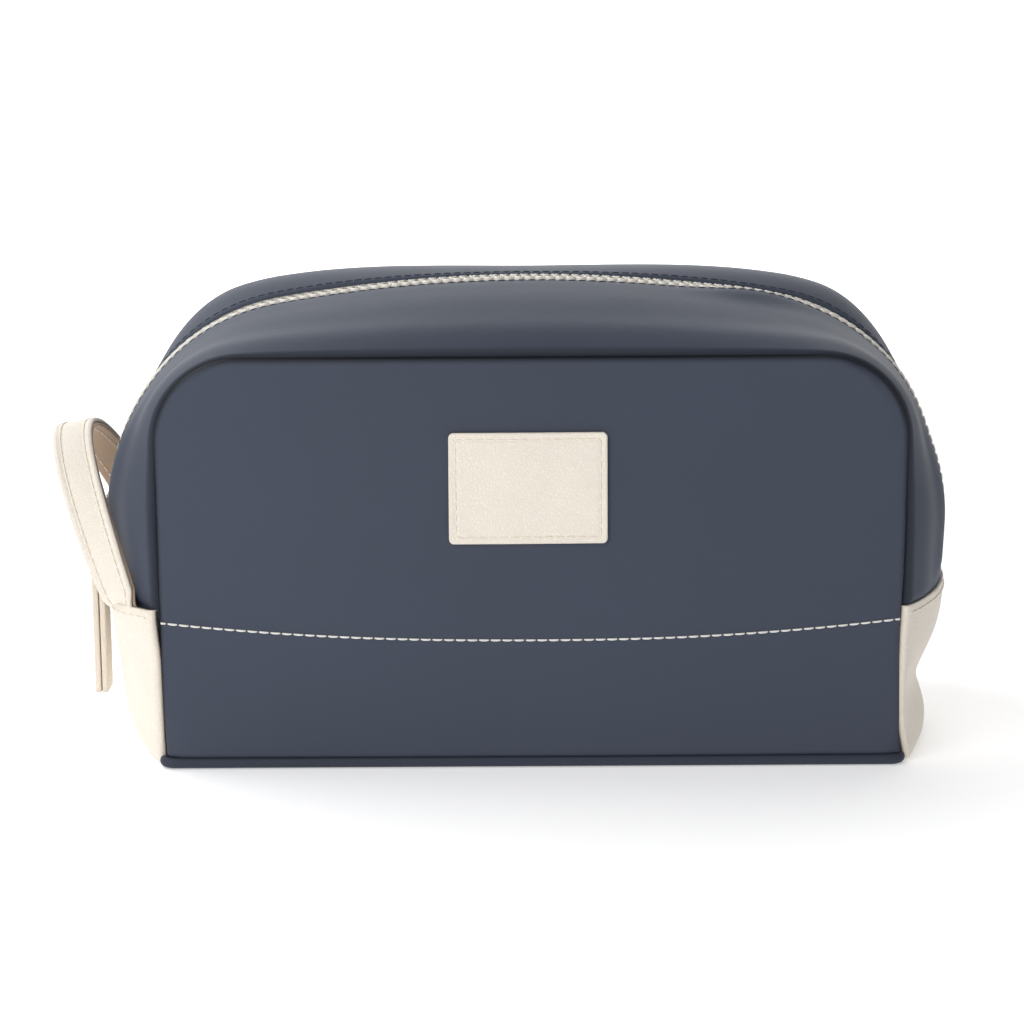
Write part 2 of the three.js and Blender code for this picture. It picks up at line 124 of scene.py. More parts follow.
class BagTrim(bpy.types.PropertyGroup):
    """Sizes of the trim: stitches, label, patches and strap, in millimetres."""

    stitch_pitch: length("Stitch pitch", 3.7, "From one stitch to the next on the front line")
    thread: length("Thread thickness", 0.72, "Thickness of the top-stitching thread")
    fine_pitch: length("Fine stitch pitch", 3.5, "From one stitch to the next on the leather trim")
    fine_thread: length("Fine thread", 0.44, "Thickness of the trim's thread")
    stitch_side: length("Stitch line height", 48.8, "Height of the front stitch line at the seams")
    stitch_dip: length("Stitch line dip", 4.6, "How far the front stitch line dips in the middle")
    label_width: length("Label width", 50.0, "Width of the leather label")
    label_height: length("Label height", 35.0, "Height of the leather label")
    label_x: bpy.props.FloatProperty(name="Label place", default=-1.0, description="Across the front")
    label_z: length("Label centre height", 93.4, "Height of the label's centre")
    patch_top: length("Patch height", 52.6, "Height of an end patch's top edge")
    strap_width: length("Strap width", 13.0, "Width of the handle's strap")
    strap_layer: length("Strap layer", 1.5, "Thickness of one of the strap's two layers")


class BagColours(bpy.types.PropertyGroup):
    """Base colours of the finishes."""

    navy: colour("Navy", (0.053, 0.063, 0.091), "Soft-touch leatherette")
    cream: colour("Cream", (0.88, 0.81, 0.71), "Leather trim")
    # strap lining colour: the flesh side's brown, darkened further as painted shade of the strap's underside
    flesh: colour("Strap lining", (0.46, 0.33, 0.23), "Inner side of the strap")
    cream_core: colour("Leather core", (0.52, 0.42, 0.31), "Cut edge and flesh side of the leather")
    thread: colour("Thread", (0.86, 0.84, 0.79), "Top-stitching thread")
    teeth: colour("Teeth", (0.82, 0.79, 0.72), "Moulded zip teeth")
    tape: colour("Tape", (0.62, 0.57, 0.48), "Woven zip tape")
    lining: colour("Lining", (0.47, 0.44, 0.39), "Twill lining")
    metal: colour("Metal", (0.72, 0.70, 0.66), "Slider and ring")


def sizes():
    return bpy.context.scene.bag_sizes


def trim():
    return bpy.context.scene.bag_trim


def colours():
    return bpy.context.scene.bag_colours


# ---- the bag's surface -------------------------------------------------------------------

INSIDE = np.array([0.0, 0.0, SHOULDER[2]])  # a point well inside: outward is away from it
END_TANGENT = math.radians(1)  # below this angle an end leaves the shoulder circle
BASE_TIP, BASE_CORNER_X, BASE_HALF_Y = 131.0, 116.0, 52.8  # the base's ends bulge to their tips
WELT_X, WELT_Y, WELT_TURN = 119.0, 56.2, 3.3  # the welt's middle line and its corners' radius
WELT_Z, WELT_RADIUS = 1.95, 1.75
PLAN_START, PLAN_RADIUS, PLAN_FADE = 112.3, 9.0, 30.0  # the big panels turn in above the floor
WALL_LOW = 3.1  # the big panels end in the welt's crevice
PATCH_LOW = 0.7  # the end patches reach down nearly to the floor


def vec(x, y, z):
    """Stacks three arrays of coordinates, of any shapes that fit, into points."""
    return np.stack(np.broadcast_arrays(x, y, z), axis=-1).astype(float)


def smooth(x):
    """0 before 0, 1 after 1, and a smooth step between."""
    x = np.clip(x, 0, 1)
    return x * x * (3 - 2 * x)


def hump(x, centre, width):
    """A bell of height 1."""
    return np.exp(-(((x - centre) / width) ** 2))


def seam_line(t):
    """The front panel's seam at shares t of its length: up a side, round a corner, along the top
    and down again. Both halves are one run of straight, quarter circle and straight, mirrored."""
    s = sizes()
    side = s.seam_top - s.seam_corner - FOLD_Z
    quarter = s.seam_corner * math.pi / 2
    total = 2 * (side + quarter + s.seam_half - s.seam_corner)
    run = np.minimum(t, 1 - t) * total
    turn = np.clip((run - side) / s.seam_corner, 0, math.pi / 2)
    over = np.maximum(run - side - quarter, 0)
    x = s.seam_half - s.seam_corner + s.seam_corner * np.cos(turn) - over
    z = FOLD_Z + np.minimum(run, side) + s.seam_corner * np.sin(turn)
    return np.where(t < 0.5, -x, x), z


RIGHT_SLIM = 1.4  # the right end stands out this much less than the left one
WAIST_DEPTH, WAIST_Z, WAIST_REACH = 7, 20, 14  # the right end's waist above the floor


def corner_sway(x, z):
    """How far the right seams stray sideways: in at a third of their height, out
    at the floor."""
    sway = 1.8 * smooth((13 - z) / 13) - 1.2 * hump(z, 40, 20)
    return sway * np.clip(x / sizes().seam_half, 0, 1) ** 6


def end_reach(z):
    """Half the bag's length at mid-depth, low down: it leaves the shoulder circle along its
    tangent, draws in slowly and curls under at the floor."""
    s = sizes()
    top_z = SHOULDER[2] - s.shoulder_radius * math.sin(END_TANGENT)
    top_x = -SHOULDER[0] + s.shoulder_radius * math.cos(END_TANGENT)
    below = top_z - z
    tuck = 0.02 * np.maximum(0, 13 - z) ** 2  # the curl starts 13 mm over the floor
    return top_x - math.tan(END_TANGENT) * below - s.end_taper * 0.001 * below**3 - tuck


def crest_line(t):
    """The zip's line at shares t of its length: the end's curve, the shoulder's circle, and
    the crown's wide circle that touches both shoulders; the other half is mirrored, and set in
    a little from the right shoulder down."""
    s = sizes()
    rise = s.crest_top - SHOULDER[2]
    radius = s.shoulder_radius
    reach = -SHOULDER[0]
    crown = (reach**2 + rise**2 - radius**2) / (2 * (rise - radius))
    lean = math.atan(reach / (crown - rise))
    top_z = SHOULDER[2] - radius * math.sin(END_TANGENT)
    low = top_z - FOLD_Z
    arc = radius * (math.pi / 2 - lean + END_TANGENT)
    total = 2 * (low + arc + crown * lean)
    run = np.minimum(t, 1 - t) * total
    turn = np.clip((run - low) / radius, 0, arc / radius) - END_TANGENT
    swing = lean - np.maximum(run - low - arc, 0) / crown
    z_low = FOLD_Z + np.minimum(run, low)
    x = np.where(run < low, end_reach(z_low), reach + radius * np.cos(turn))
    z = np.where(run < low, z_low, SHOULDER[2] + radius * np.sin(turn))
    x = np.where(run > low + arc, crown * np.sin(swing), x)
    z = np.where(run > low + arc, s.crest_top - crown + crown * np.cos(swing), z)
    slim = (RIGHT_SLIM + 1.8 * hump(z, 100, 16)) * smooth((t - 0.7) / 0.1)
    return np.where(t < 0.5, -x, x - slim), z


def arch(t, y):
    """The gusset: from the seam's line up to the zip's line, as a parabola across the depth.
    The rear half swells over the zip, the front half has a brow along it that is highest by the
    right shoulder, each end has a soft upright crease, and both halves puff up by the seam."""
    s = sizes()
    across = np.abs(y) / s.half_depth
    seam_x, seam_z = seam_line(t)
    crest_x, crest_z = crest_line(t)
    share = 1 - across**2
    x = seam_x + (crest_x - seam_x) * share
    z = seam_z + (crest_z - seam_z) * share
    step = 1e-4
    ahead = np.array(crest_line(np.clip(t + step, 0, 1)))
    behind = np.array(crest_line(np.clip(t - step, 0, 1)))
    tangent = (ahead - behind) / np.linalg.norm(ahead - behind, axis=0)
    from_middle = np.abs(t - 0.5)
    from_fold = np.minimum(t, 1 - t)
    top = smooth((from_fold - 0.12) / 0.14)  # 1 over the top, 0 down the ends
    rear = s.swell_ends + top * (s.swell_crown + s.swell_shoulder * smooth(from_middle / 0.2))
    left_more = np.where(t < 0.5, 1.0, 0.4)
    front = left_more * s.swell_front * hump(from_middle, 0.42, 0.055)
    halves = np.where(y > 0, rear, front) * np.sin(math.pi * across)
    low_brow = 0.5 * smooth((t - 0.14) / 0.1) * smooth((0.86 - t) / 0.1)
    right_brow = 2.0 * hump(t, 0.685, 0.04)
    brow = np.where(y > 0, 0, low_brow + right_brow) * hump(across, 0.12, 0.12)
    ends = smooth((0.2 - from_fold) / 0.12) * smooth(from_fold / 0.02)
    crease = ends * (1.3 * hump(across, 0.5, 0.09) - 0.9 * hump(across, 0.34, 0.1))
    puff = 1.3 * hump(across, 0.82, 0.15)
    lift = halves + brow + crease + puff
    return vec(x - tangent[1] * lift, y, z + tangent[0] * lift)


def wall_depth(x, z):
    """Half the bag's depth at a big panel before it swells: sharp seams that become rounded
    plan corners near the floor."""
    into = np.maximum(0, np.abs(x) - PLAN_START)
    cut = PLAN_RADIUS - np.sqrt(np.maximum(PLAN_RADIUS**2 - into**2, 0))
    return sizes().half_depth - cut * np.maximum(0, 1 - z / PLAN_FADE) ** 2


def end_wall(side):
    """The wall below the fold at one end, as a function of height and of the share across the
    depth from -1, the front seam, to 1, the rear one: a parabola between the seams, less a waist
    on the right and a slight dent on the left."""

    def surface(z, share):
        s = sizes()
        x = s.seam_half + (end_reach(z) - s.seam_half) * (1 - share**2)
        if side > 0:
            slim = RIGHT_SLIM * smooth(z / 25) * (1 - share**2)
            waist = WAIST_DEPTH * hump(z, WAIST_Z, WAIST_REACH) * (1 - share**4)
            dent = slim + waist - corner_sway(s.seam_half, z) * share**4
        else:
            dent = 0.5 * hump(z, 24, 11) * hump(share, -0.45, 0.35)
        x = x - dent
        return vec(side * x, share * wall_depth(s.seam_half, z), z)

    return surface


def panel_half(z):
    """Half the width of a big panel at a height: straight sides, then the corner's circle."""
    s = sizes()
    over = np.clip(z - (s.seam_top - s.seam_corner), 0, s.seam_corner)
    return s.seam_half - s.seam_corner + np.sqrt(s.seam_corner**2 - over**2)


def panel_depth(x, z):
    """How far a big panel stands from the middle of the bag: a swell that is nothing at the
    seams, with slow waves in it as soft leatherette has."""
    s = sizes()
    across = np.clip(np.abs(x) / panel_half(z), 0, 1)
    up = np.clip(z / s.seam_top, 0, 1)
    swell = s.panel_bulge * (1 - across**2) * np.sin(math.pi * up)
    fade = (1 - across**4) * np.sin(math.pi * up)
    waves = 0.35 * np.sin(x / 31 + 0.7) * np.sin(z / 23 + 0.4) + 0.2 * np.sin(x / 17 - z / 29)
    return wall_depth(x, z) + swell + waves * fade


def panel(side):
    """A big panel, front (-1) or rear (1), as a function of the share across its width and of
    height: the columns draw in with the upper corners."""

    def surface(share, z):
        x = share * panel_half(z)
        return vec(x + corner_sway(x, z), side * panel_depth(x, z), z)

    return surface


def seam_distance(x, z):
    """How far a point of a big panel is inside its seam."""
    s = sizes()
    dx = np.abs(x) - (s.seam_half - s.seam_corner)
    dz = z - (s.seam_top - s.seam_corner)
    square = np.minimum(s.seam_half - np.abs(x), s.seam_top - z)
    corner = s.seam_corner - np.hypot(np.maximum(dx, 0), np.maximum(dz, 0))
    return np.maximum(np.where((dx > 0) & (dz > 0), corner, square), 0)


# ---- meshes ------------------------------------------------------------------------------


def roll(distance, radius):
    """How far a rolled edge has dropped at a distance from its end: a quarter circle."""
    inside = np.clip(radius - distance, 0, radius)
    return radius - np.sqrt(np.maximum(radius**2 - inside**2, 0))


def rows(low, high, middle, edge, close=6):
    """Positions from low to high that crowd together over a length edge at both ends."""
    bend = 1 - np.cos(np.linspace(0, math.pi / 2, close, endpoint=False))
    start = low + edge * bend
    return np.concatenate([start, np.linspace(low + edge, high - edge, middle), (low + high - start)[::-1]])


def normals(surface, a, b):
    """Unit normals of surface(a, b) by central differences, pointing away from the inside."""
    da = 1e-4 * (np.ptp(a) or 1)
    db = 1e-4 * (np.ptp(b) or 1)
    cross = np.cross(surface(a + da, b) - surface(a - da, b), surface(a, b + db) - surface(a, b - db))
    cross /= np.maximum(np.linalg.norm(cross, axis=-1, keepdims=True), 1e-12)
    away = surface(a, b) - INSIDE
    return cross * np.where(np.sum(cross * away, axis=-1, keepdims=True) < 0, -1, 1)


def grid_faces(n, m, start=0, close_n=False, close_m=False):
    """Quads of an n by m grid of vertices, each direction open or closed on itself."""
    i = np.arange(n if close_n else n - 1)
    j = np.arange(m if close_m else m - 1)
    i, j = [x.ravel() for x in np.meshgrid(i, j, indexing="ij")]
    i1, j1 = (i + 1) % n, (j + 1) % m
    return start + np.stack([i * m + j, i1 * m + j, i1 * m + j1, i * m + j1], axis=-1)


def many_faces(count, n, m):
    """Faces of count copies of a closed solid of n rings of m vertices: its wall and two caps."""
    base = np.arange(count)[:, None] * m * n
    ring = np.arange(m)
    wall = (base[..., None] + grid_faces(n, m, close_m=True)).reshape(-1, 4)
    return [wall, np.concatenate([base + ring[::-1], base + (n - 1) * m + ring])]


def tangents(line):
    """Unit directions along a line of points."""
    ahead = np.gradient(line, axis=0)
    return ahead / np.linalg.norm(ahead, axis=1, keepdims=True)


def lengths_along(line):
    """How far along a line each of its points lies."""
    return np.concatenate([[0], np.cumsum(np.linalg.norm(np.diff(line, axis=0), axis=1))])


def at_lengths(where, run, values):
    """Points or vectors at distances where along a line, from those at distances run."""
    return np.stack([np.interp(where, run, values[:, k]) for k in range(3)], axis=-1)


def signed_volume(points, faces):
    """Six times the volume that a closed mesh of quads or triangles holds."""
    a, b, c = (points[faces[:, k]] for k in range(3))
    total = np.sum(a * np.cross(b, c))
    if faces.shape[1] == 4:
        d = points[faces[:, 3]]
        total += np.sum(a * np.cross(c, d))
    return total


def make_piece(name, points, face_sets, material, edge=None, facing=True):
    """A smooth mesh object from points in millimetres and arrays of faces. Faces that came out
    inside out are turned round. edge is a value from 0 to 1 for each point, for the material."""
    face_sets = [np.asarray(f) for f in face_sets if len(f)]
    points = np.asarray(points, float).reshape(-1, 3)
    if facing and sum(signed_volume(points, f) for f in face_sets) < 0:
        face_sets = [f[:, ::-1] for f in face_sets]
    mesh = bpy.data.meshes.new(name)
    mesh.from_pydata(points * MM, [], [row for f in face_sets for row in f.tolist()])
    mesh.polygons.foreach_set("use_smooth", np.ones(len(mesh.polygons), bool))
    values = np.zeros(len(points), np.float32) if edge is None else np.asarray(edge, np.float32).ravel()
    # edge values weight painted shade on the navy pieces and the cut edge's own colour on the leather pieces
    mesh.attributes.new("edge", "FLOAT", "POINT").data.foreach_set("value", values)
    mesh.materials.append(material)
    mesh.update()
    obj = bpy.data.objects.new(name, mesh)
    bpy.context.collection.objects.link(obj)
    return obj


def shell(a, b, surface, thickness, drop=None, lift=0.0, rim=1.2):
    """A closed sheet over the grid a by b: the outer skin is surface raised by lift and lowered
    by drop(a, b), the inner skin lies thickness under it, and the rim joins them. Returns points,
    faces and how near each point is to the rim."""
    a, b = np.meshgrid(a, b, indexing="ij")
    n, m = a.shape
    normal = normals(surface, a, b)
    down = np.zeros_like(a) if drop is None else drop(a, b)
    outer = surface(a, b) + normal * (lift - down)[..., None]
    inner = outer - normal * thickness
    points = np.concatenate([outer.reshape(-1, 3), inner.reshape(-1, 3)])
    top, under = grid_faces(n, m), grid_faces(n, m, n * m)[:, ::-1]
    ring = np.concatenate([
        np.arange(m), np.arange(1, n) * m + m - 1,
        (n - 1) * m + np.arange(m - 2, -1, -1), np.arange(n - 2, 0, -1) * m,
    ])
    follow = np.roll(ring, -1)
    side = np.stack([follow, ring, ring + n * m, follow + n * m], axis=-1)
    sides = (outer[:1], outer[-1:], outer[:, :1], outer[:, -1:])
    gap = np.min([np.linalg.norm(outer - line, axis=-1) for line in sides], axis=0)
    near = np.exp(-gap / rim)
    return points, [top, under, side[:, ::-1]], np.concatenate([near.ravel(), np.ones(near.size)])


def bar(centre, wide, thick, half_wide, half_thick, sides=16, power=4.0, closed=False):
    """A strap or wire along a line of centres: each section is a superellipse with half sizes
    half_wide along wide and half_thick along thick. Open ends are closed with one face each."""
    turn = np.linspace(0, 2 * math.pi, sides, endpoint=False)
    c, s = np.cos(turn), np.sin(turn)
    a = np.sign(c) * np.abs(c) ** (2 / power)
    b = np.sign(s) * np.abs(s) ** (2 / power)
    half_wide = np.broadcast_to(half_wide, len(centre))[:, None, None]
    half_thick = np.broadcast_to(half_thick, len(centre))[:, None, None]
    points = centre[:, None] + wide[:, None] * a[:, None] * half_wide
    points = points + thick[:, None] * b[:, None] * half_thick
    n = len(centre)
    faces = [grid_faces(n, sides, close_n=closed, close_m=True)]
    if not closed:
        faces.append(np.arange(sides)[None, ::-1])
        faces.append(((n - 1) * sides + np.arange(sides))[None])
    return points.reshape(-1, 3), faces


def along(points, spacing, closed=False, inset=0.0):
    """Even steps of about a spacing along a line of points: the line, closed if it is a ring, how
    far along each of its points is, and how far along each step is."""
    line = np.concatenate([points, points[:1]]) if closed else points
    run = lengths_along(line)
    total = run[-1] - 2 * inset
    count = max(2, int(round(total / spacing)) + (0 if closed else 1))
    where = inset + np.linspace(0, total, count, endpoint=not closed)
    return line, run, where


def frames_along(points, surface_normals, where, run):
    """Centre, tangent, normal and side direction at distances where along a line."""
    centre = at_lengths(where, run, points)
    up = at_lengths(where, run, surface_normals)
    step = 0.3
    tangent = at_lengths(where + step, run, points) - at_lengths(where - step, run, points)
    tangent /= np.maximum(np.linalg.norm(tangent, axis=-1, keepdims=True), 1e-9)
    up -= tangent * np.sum(up * tangent, axis=-1, keepdims=True)
    up /= np.maximum(np.linalg.norm(up, axis=-1, keepdims=True), 1e-9)
    return centre, tangent, up, np.cross(tangent, up)


def stitches(name, points, surface_normals, pitch, thread, material, slot, cover=0.88, closed=False,
             inset=0.0):
    """A row of stitches: each is a plump thread that rises out of the surface, lies on it and
    dives again, thinner at its ends. The thread's height over its length is a half ellipse."""
    points, surface_normals = np.asarray(points), np.asarray(surface_normals)
    line, run, where = along(points, pitch, closed=closed, inset=inset)
    if closed:
        surface_normals = np.concatenate([surface_normals, surface_normals[:1]])
    rings, sides = 7, 8
    share = np.linspace(-1, 1, rings)
    reach = where[:, None] + share[None] * pitch * cover / 2
    reach = reach % run[-1] if closed else np.clip(reach, 0, run[-1])
    centre, tangent, up, side = frames_along(line, surface_normals, reach.ravel(), run)
    arch_up = np.sqrt(np.maximum(1 - share**2, 0))
    height = np.tile(thread * (0.62 * arch_up - 0.28), len(where))
    radius = np.tile(thread / 2 * (0.55 + 0.45 * arch_up), len(where))
    centre = centre + up * height[:, None]
    turn = np.linspace(0, 2 * math.pi, sides, endpoint=False)
    ring = side[:, None] * np.cos(turn)[:, None] + up[:, None] * np.sin(turn)[:, None]
    body = centre[:, None] + ring * radius[:, None, None]
    return make_piece(name, body, many_faces(len(where), rings, sides), material)


# ---- shader maths ------------------------------------------------------------------------


class Value:
    """An output socket that can be used in a sum: each operator adds its Math node."""

    def __init__(self, shader, socket):
        self.shader = shader
        self.socket = socket

    def _math(self, operation, first, second):
        return self.shader.node("ShaderNodeMath", {"operation": operation}, {0: first, 1: second})

    def __add__(self, other):
        return self._math("ADD", self, other)

    def __radd__(self, other):
        return self._math("ADD", other, self)

    def __sub__(self, other):
        return self._math("SUBTRACT", self, other)

    def __rsub__(self, other):
        return self._math("SUBTRACT", other, self)

    def __mul__(self, other):
        return self._math("MULTIPLY", self, other)

    def __rmul__(self, other):
        return self._math("MULTIPLY", other, self)


class Shader:
    """A material of one Principled shader. node() adds any node and gives one of its outputs."""

    def __init__(self, name, **constants):
        self.material = bpy.data.materials.new(name)
        self.material.use_nodes = True
        self.tree = self.material.node_tree
        self.surface = self.tree.nodes["Principled BSDF"]
        for key, value in constants.items():
            self.surface.inputs[key.replace("_", " ")].default_value = value

    def node(self, kind, settings=None, inputs=None, out=0):
        """Adds a node: its settings or ramp stops first, then its sockets' values or links."""
        node = self.tree.nodes.new(kind)
        for key, value in (settings or {}).items():
            if key == "stops":
                self._stops(node.color_ramp, value)
            else:
                setattr(node, key, value)
        for key, value in (inputs or {}).items():
            self.feed(node.inputs[key], value)
        return Value(self, node.outputs[out])

    @staticmethod
    def _stops(ramp, stops):
        while len(ramp.elements) < len(stops):
            ramp.elements.new(0.5)
        for element, (place, tone) in zip(ramp.elements, stops):
            element.position = place
            element.color = (tone, tone, tone, 1)

    def feed(self, socket, value):
        if isinstance(value, Value):
            self.tree.links.new(value.socket, socket)
        elif socket.type == "RGBA":
            socket.default_value = (*value[:3], 1)
        else:
            socket.default_value = value

    def noise(self, scale, detail=2.0, roughness=0.5, distortion=0.0):
        """Noise from 0 to 1 over the piece's own place in space; scale is per metre."""
        return self.node("ShaderNodeTexNoise", {}, {
            "Vector": self.node("ShaderNodeTexCoord", out="Object"), "Scale": scale,
            "Detail": detail, "Roughness": roughness, "Distortion": distortion,
        })

    def cells(self, scale, vector):
        """Distance to the edge of the nearest cell of an irregular pattern."""
        return self.node("ShaderNodeTexVoronoi", {"feature": "DISTANCE_TO_EDGE"}, {
            "Vector": vector, "Scale": scale,
        })

    def ramp(self, value, *stops):
        """A grey between stops, each a place and a tone."""
        return self.node("ShaderNodeValToRGB", {"stops": stops}, {"Fac": value})

    def mix(self, share, first, second):
        """A colour between two colours."""
        return self.node("ShaderNodeMix", {"data_type": "RGBA"}, {
            "Factor": share, 6: first, 7: second,
        }, out=2)

    def bump(self, height, distance, strength=1.0, normal=None):
        """Relief of a height over a distance in metres, on top of another relief if one is given."""
        inputs = {"Height": height, "Distance": distance, "Strength": strength}
        if normal is not None:
            inputs["Normal"] = normal
        return self.node("ShaderNodeBump", {}, inputs)

    def edge(self):
        """1 at the rim of a sheet and 0 away from it."""
        return self.node("ShaderNodeAttribute", {"attribute_name": "edge"}, out="Fac")

    def finish(self, **links):
        """Feeds the shader's varying sockets and gives the finished material."""
        for key, value in links.items():
            self.feed(self.surface.inputs[key.replace("_", " ")], value)
        return self.material


def shade(rgb, factor):
    """A colour made lighter or darker."""
    return tuple(min(1.0, c * factor) for c in rgb)


def once(make):
    """Makes a material the first time and gives the same one after that."""

    def get():
        name = f"bag_{make.__name__}"  # the frame's plain materials already bear the bare names
        return bpy.data.materials.get(name) or make(name)

    return get


@once
def navy_leatherette(name):
    """Soft-touch polyurethane: a very fine grain, slow cloudy tone, darker down in the seams."""
    sh = Shader(name, Specular_IOR_Level=0.2)
    navy = colours().navy
    slow = sh.noise(9, 3, 0.55)
    cloudy = sh.noise(55, 3, 0.6)
    fine = sh.noise(2600, 2, 0.6)
    tone = sh.mix(slow, shade(navy, 0.93), shade(navy, 1.09))
    # painted shade: the tone goes towards near-black navy where the edge value is high, at the seams, the
    # welt and the base's turned edges
    tone = sh.mix(sh.edge() * 0.97, tone, shade(navy, 0.07))
    relief = sh.bump(cloudy, 0.0006, 0.35)
    relief = sh.bump(fine, 0.00003, 0.55, relief)
    return sh.finish(Base_Color=tone, Roughness=0.50 + slow * 0.1 + fine * 0.06, Normal=relief)


@once
def cream_leather(name):
    """Pebbled leather: small cells with soft creases, mottled, with warmer cut edges."""
    sh = Shader(name, Specular_IOR_Level=0.4)
    cream = colours().cream
    place = sh.node("ShaderNodeTexCoord", out="Object")
    warp = sh.node("ShaderNodeVectorMath", {"operation": "MULTIPLY_ADD"}, {
        0: sh.node("ShaderNodeTexNoise", {}, {"Vector": place, "Scale": 700.0}, out="Color"),
        1: (0.0006, 0.0006, 0.0006), 2: place,
    })
    pebble = sh.ramp(sh.cells(950, warp), (0.0, 0.0), (0.16, 0.75), (0.45, 1.0))
    fine = sh.noise(2400, 3, 0.65)
    slow = sh.noise(70, 3, 0.6)
    tone = sh.mix(slow, shade(cream, 0.95), shade(cream, 1.05))
    tone = sh.mix((1 - pebble) * 0.28, tone, shade(cream, 0.72))
    tone = sh.mix(sh.edge() * 0.35, tone, colours().cream_core)
    relief = sh.bump(pebble, 0.00016, 0.55)
    relief = sh.bump(fine, 0.00005, 0.5, relief)
    return sh.finish(Base_Color=tone, Roughness=0.48 + slow * 0.12 + fine * 0.08, Normal=relief)


@once
def cream_flesh(name):
    """The strap's inner side: the same leather, a little browner and rubbed."""
    sh = Shader(name, Specular_IOR_Level=0.35)
    fibre = sh.noise(1500, 4, 0.7)
    slow = sh.noise(60, 3, 0.6)
    # painted shade: the flesh colour is kept darker than the leather's own to stand in for the underside's
    # shade
    tone = sh.mix(slow, shade(colours().flesh, 0.85), shade(colours().flesh, 1.15))
    tone = sh.mix(sh.edge() * 0.5, tone, colours().cream_core)
    return sh.finish(Base_Color=tone, Roughness=0.6 + fibre * 0.15, Normal=sh.bump(fibre, 0.00010, 0.6))


def thread_material(name, rgb):
    """Spun thread: fine fibres and a slightly uneven tone."""
    sh = Shader(name, Specular_IOR_Level=0.3)
    fibre = sh.noise(4200, 2, 0.6)
    tone = sh.mix(fibre, shade(rgb, 0.82), shade(rgb, 1.08))
    return sh.finish(Base_Color=tone, Roughness=0.55 + fibre * 0.2, Normal=sh.bump(fibre, 0.00008, 0.7))


@once
def white_thread(name):
    return thread_material(name, colours().thread)


@once
def cream_thread(name):
    return thread_material(name, colours().cream)


@once
def navy_thread(name):
    return thread_material(name, shade(colours().navy, 0.85))


@once
def zip_resin(name):
    """Moulded acetal teeth: even, a little translucent, satin."""
    sh = Shader(name, Specular_IOR_Level=0.5, Subsurface_Weight=0.08, Subsurface_Scale=0.001)
    slow = sh.noise(300, 2, 0.5)
    tone = sh.mix(slow, shade(colours().teeth, 0.94), shade(colours().teeth, 1.05))
    return sh.finish(Base_Color=tone, Roughness=0.34 + slow * 0.14)


def woven(name, rgb, thread_size, depth):
    """Plain cloth: crossing sine waves of threads, over object coordinates that lie across every
    wall well enough, with slubs."""
    sh = Shader(name, Specular_IOR_Level=0.2)
    place = sh.node("ShaderNodeTexCoord", out="Object")
    split = sh.node("ShaderNodeSeparateXYZ", {}, {0: place})
    x, y, z = (Value(sh, split.socket.node.outputs[k]) for k in range(3))
    turns = 2 * math.pi / thread_size

    def wave(value):
        return sh.node("ShaderNodeMath", {"operation": "SINE"}, {0: value * turns})

    weave = 0.5 + wave(x + z + y * 0.5) * wave(z - x + y * 1.5) * 0.5
    slub = sh.noise(900, 3, 0.6)
    tone = sh.mix(weave * 0.6 + slub * 0.4, shade(rgb, 0.74), shade(rgb, 1.1))
    return sh.finish(Base_Color=tone, Roughness=0.8 + slub * 0.1, Normal=sh.bump(weave, depth, 0.8))


@once
def lining_twill(name):
    return woven(name, colours().lining, 0.0009, 0.00012)


@once
def zip_tape(name):
    return woven(name, colours().tape, 0.0006, 0.00010)


@once
def slider_metal(name):
    """Satin nickel-plated zinc with fine rubbing marks."""
    sh = Shader(name, Metallic=1.0)
    marks = sh.noise(1200, 3, 0.7, distortion=1.5)
    tone = sh.mix(marks, shade(colours().metal, 0.9), shade(colours().metal, 1.05))
    return sh.finish(Base_Color=tone, Roughness=0.24 + marks * 0.16, Normal=sh.bump(marks, 0.00002, 0.4))


@once
def base_board(name):
    """Grey-brown stiffener sheet, hidden under the lining."""
    sh = Shader(name)
    fibre = sh.noise(400, 4, 0.7)
    tone = sh.mix(fibre, (0.10, 0.085, 0.07), (0.2, 0.17, 0.14))
    return sh.finish(Base_Color=tone, Roughness=0.85 + fibre * 0.1)


# ---- pieces ------------------------------------------------------------------------------


def bend(obj, half):
    """Cloth and leather that bends between the base and one half of the mouth."""
    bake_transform(obj)


def bend_foot(obj):
    """The strap bends just above the patch that holds its feet."""
    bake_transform(obj)


def trim_row(name, points, surface_normals, body, pitch=None, thread=None, material=None,
             slot="cream_leather", **more):
    """A row of stitches that moves with a body, or bends with a half of the mouth."""
    t = trim()
    obj = stitches(name, points, surface_normals, pitch or t.fine_pitch, thread or t.fine_thread,
                   (material or cream_thread)(), slot, **more)
    if body in ("front_half", "rear_half"):
        bend(obj, body)
    elif body == "handle":
        bend_foot(obj)
    else:
        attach(obj, body)
    return obj


def build_panels():
    """Each big panel is one piece: a swollen sheet whose edges roll into the seam and the welt."""
    s = sizes()
    columns = rows(-1, 1, 64, s.turn / s.seam_half, close=7)
    heights = rows(WALL_LOW, s.seam_top, 62, s.turn, close=7)
    for name, side in HALVES:
        def drop(share, z):
            x = share * panel_half(z)
            return roll(seam_distance(x, z), s.turn) + roll(z - WALL_LOW, 1.6)

        points, faces, _ = shell(columns, heights, panel(side), s.hide, drop)
        # edge weights painted shade: darkest at the seam and down by the welt's crevice
        gap = np.minimum(seam_distance(points[:, 0], points[:, 2]), points[:, 2] - WALL_LOW)
        edge = np.exp(-((np.maximum(gap, 0) / 1.1) ** 2))
        obj = make_piece(f"{name}_panel", points, faces, navy_leatherette(), edge)
        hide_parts(f"{name}_panel_upper", f"{name}_panel_lower")
        bend(obj, f"{name}_half")


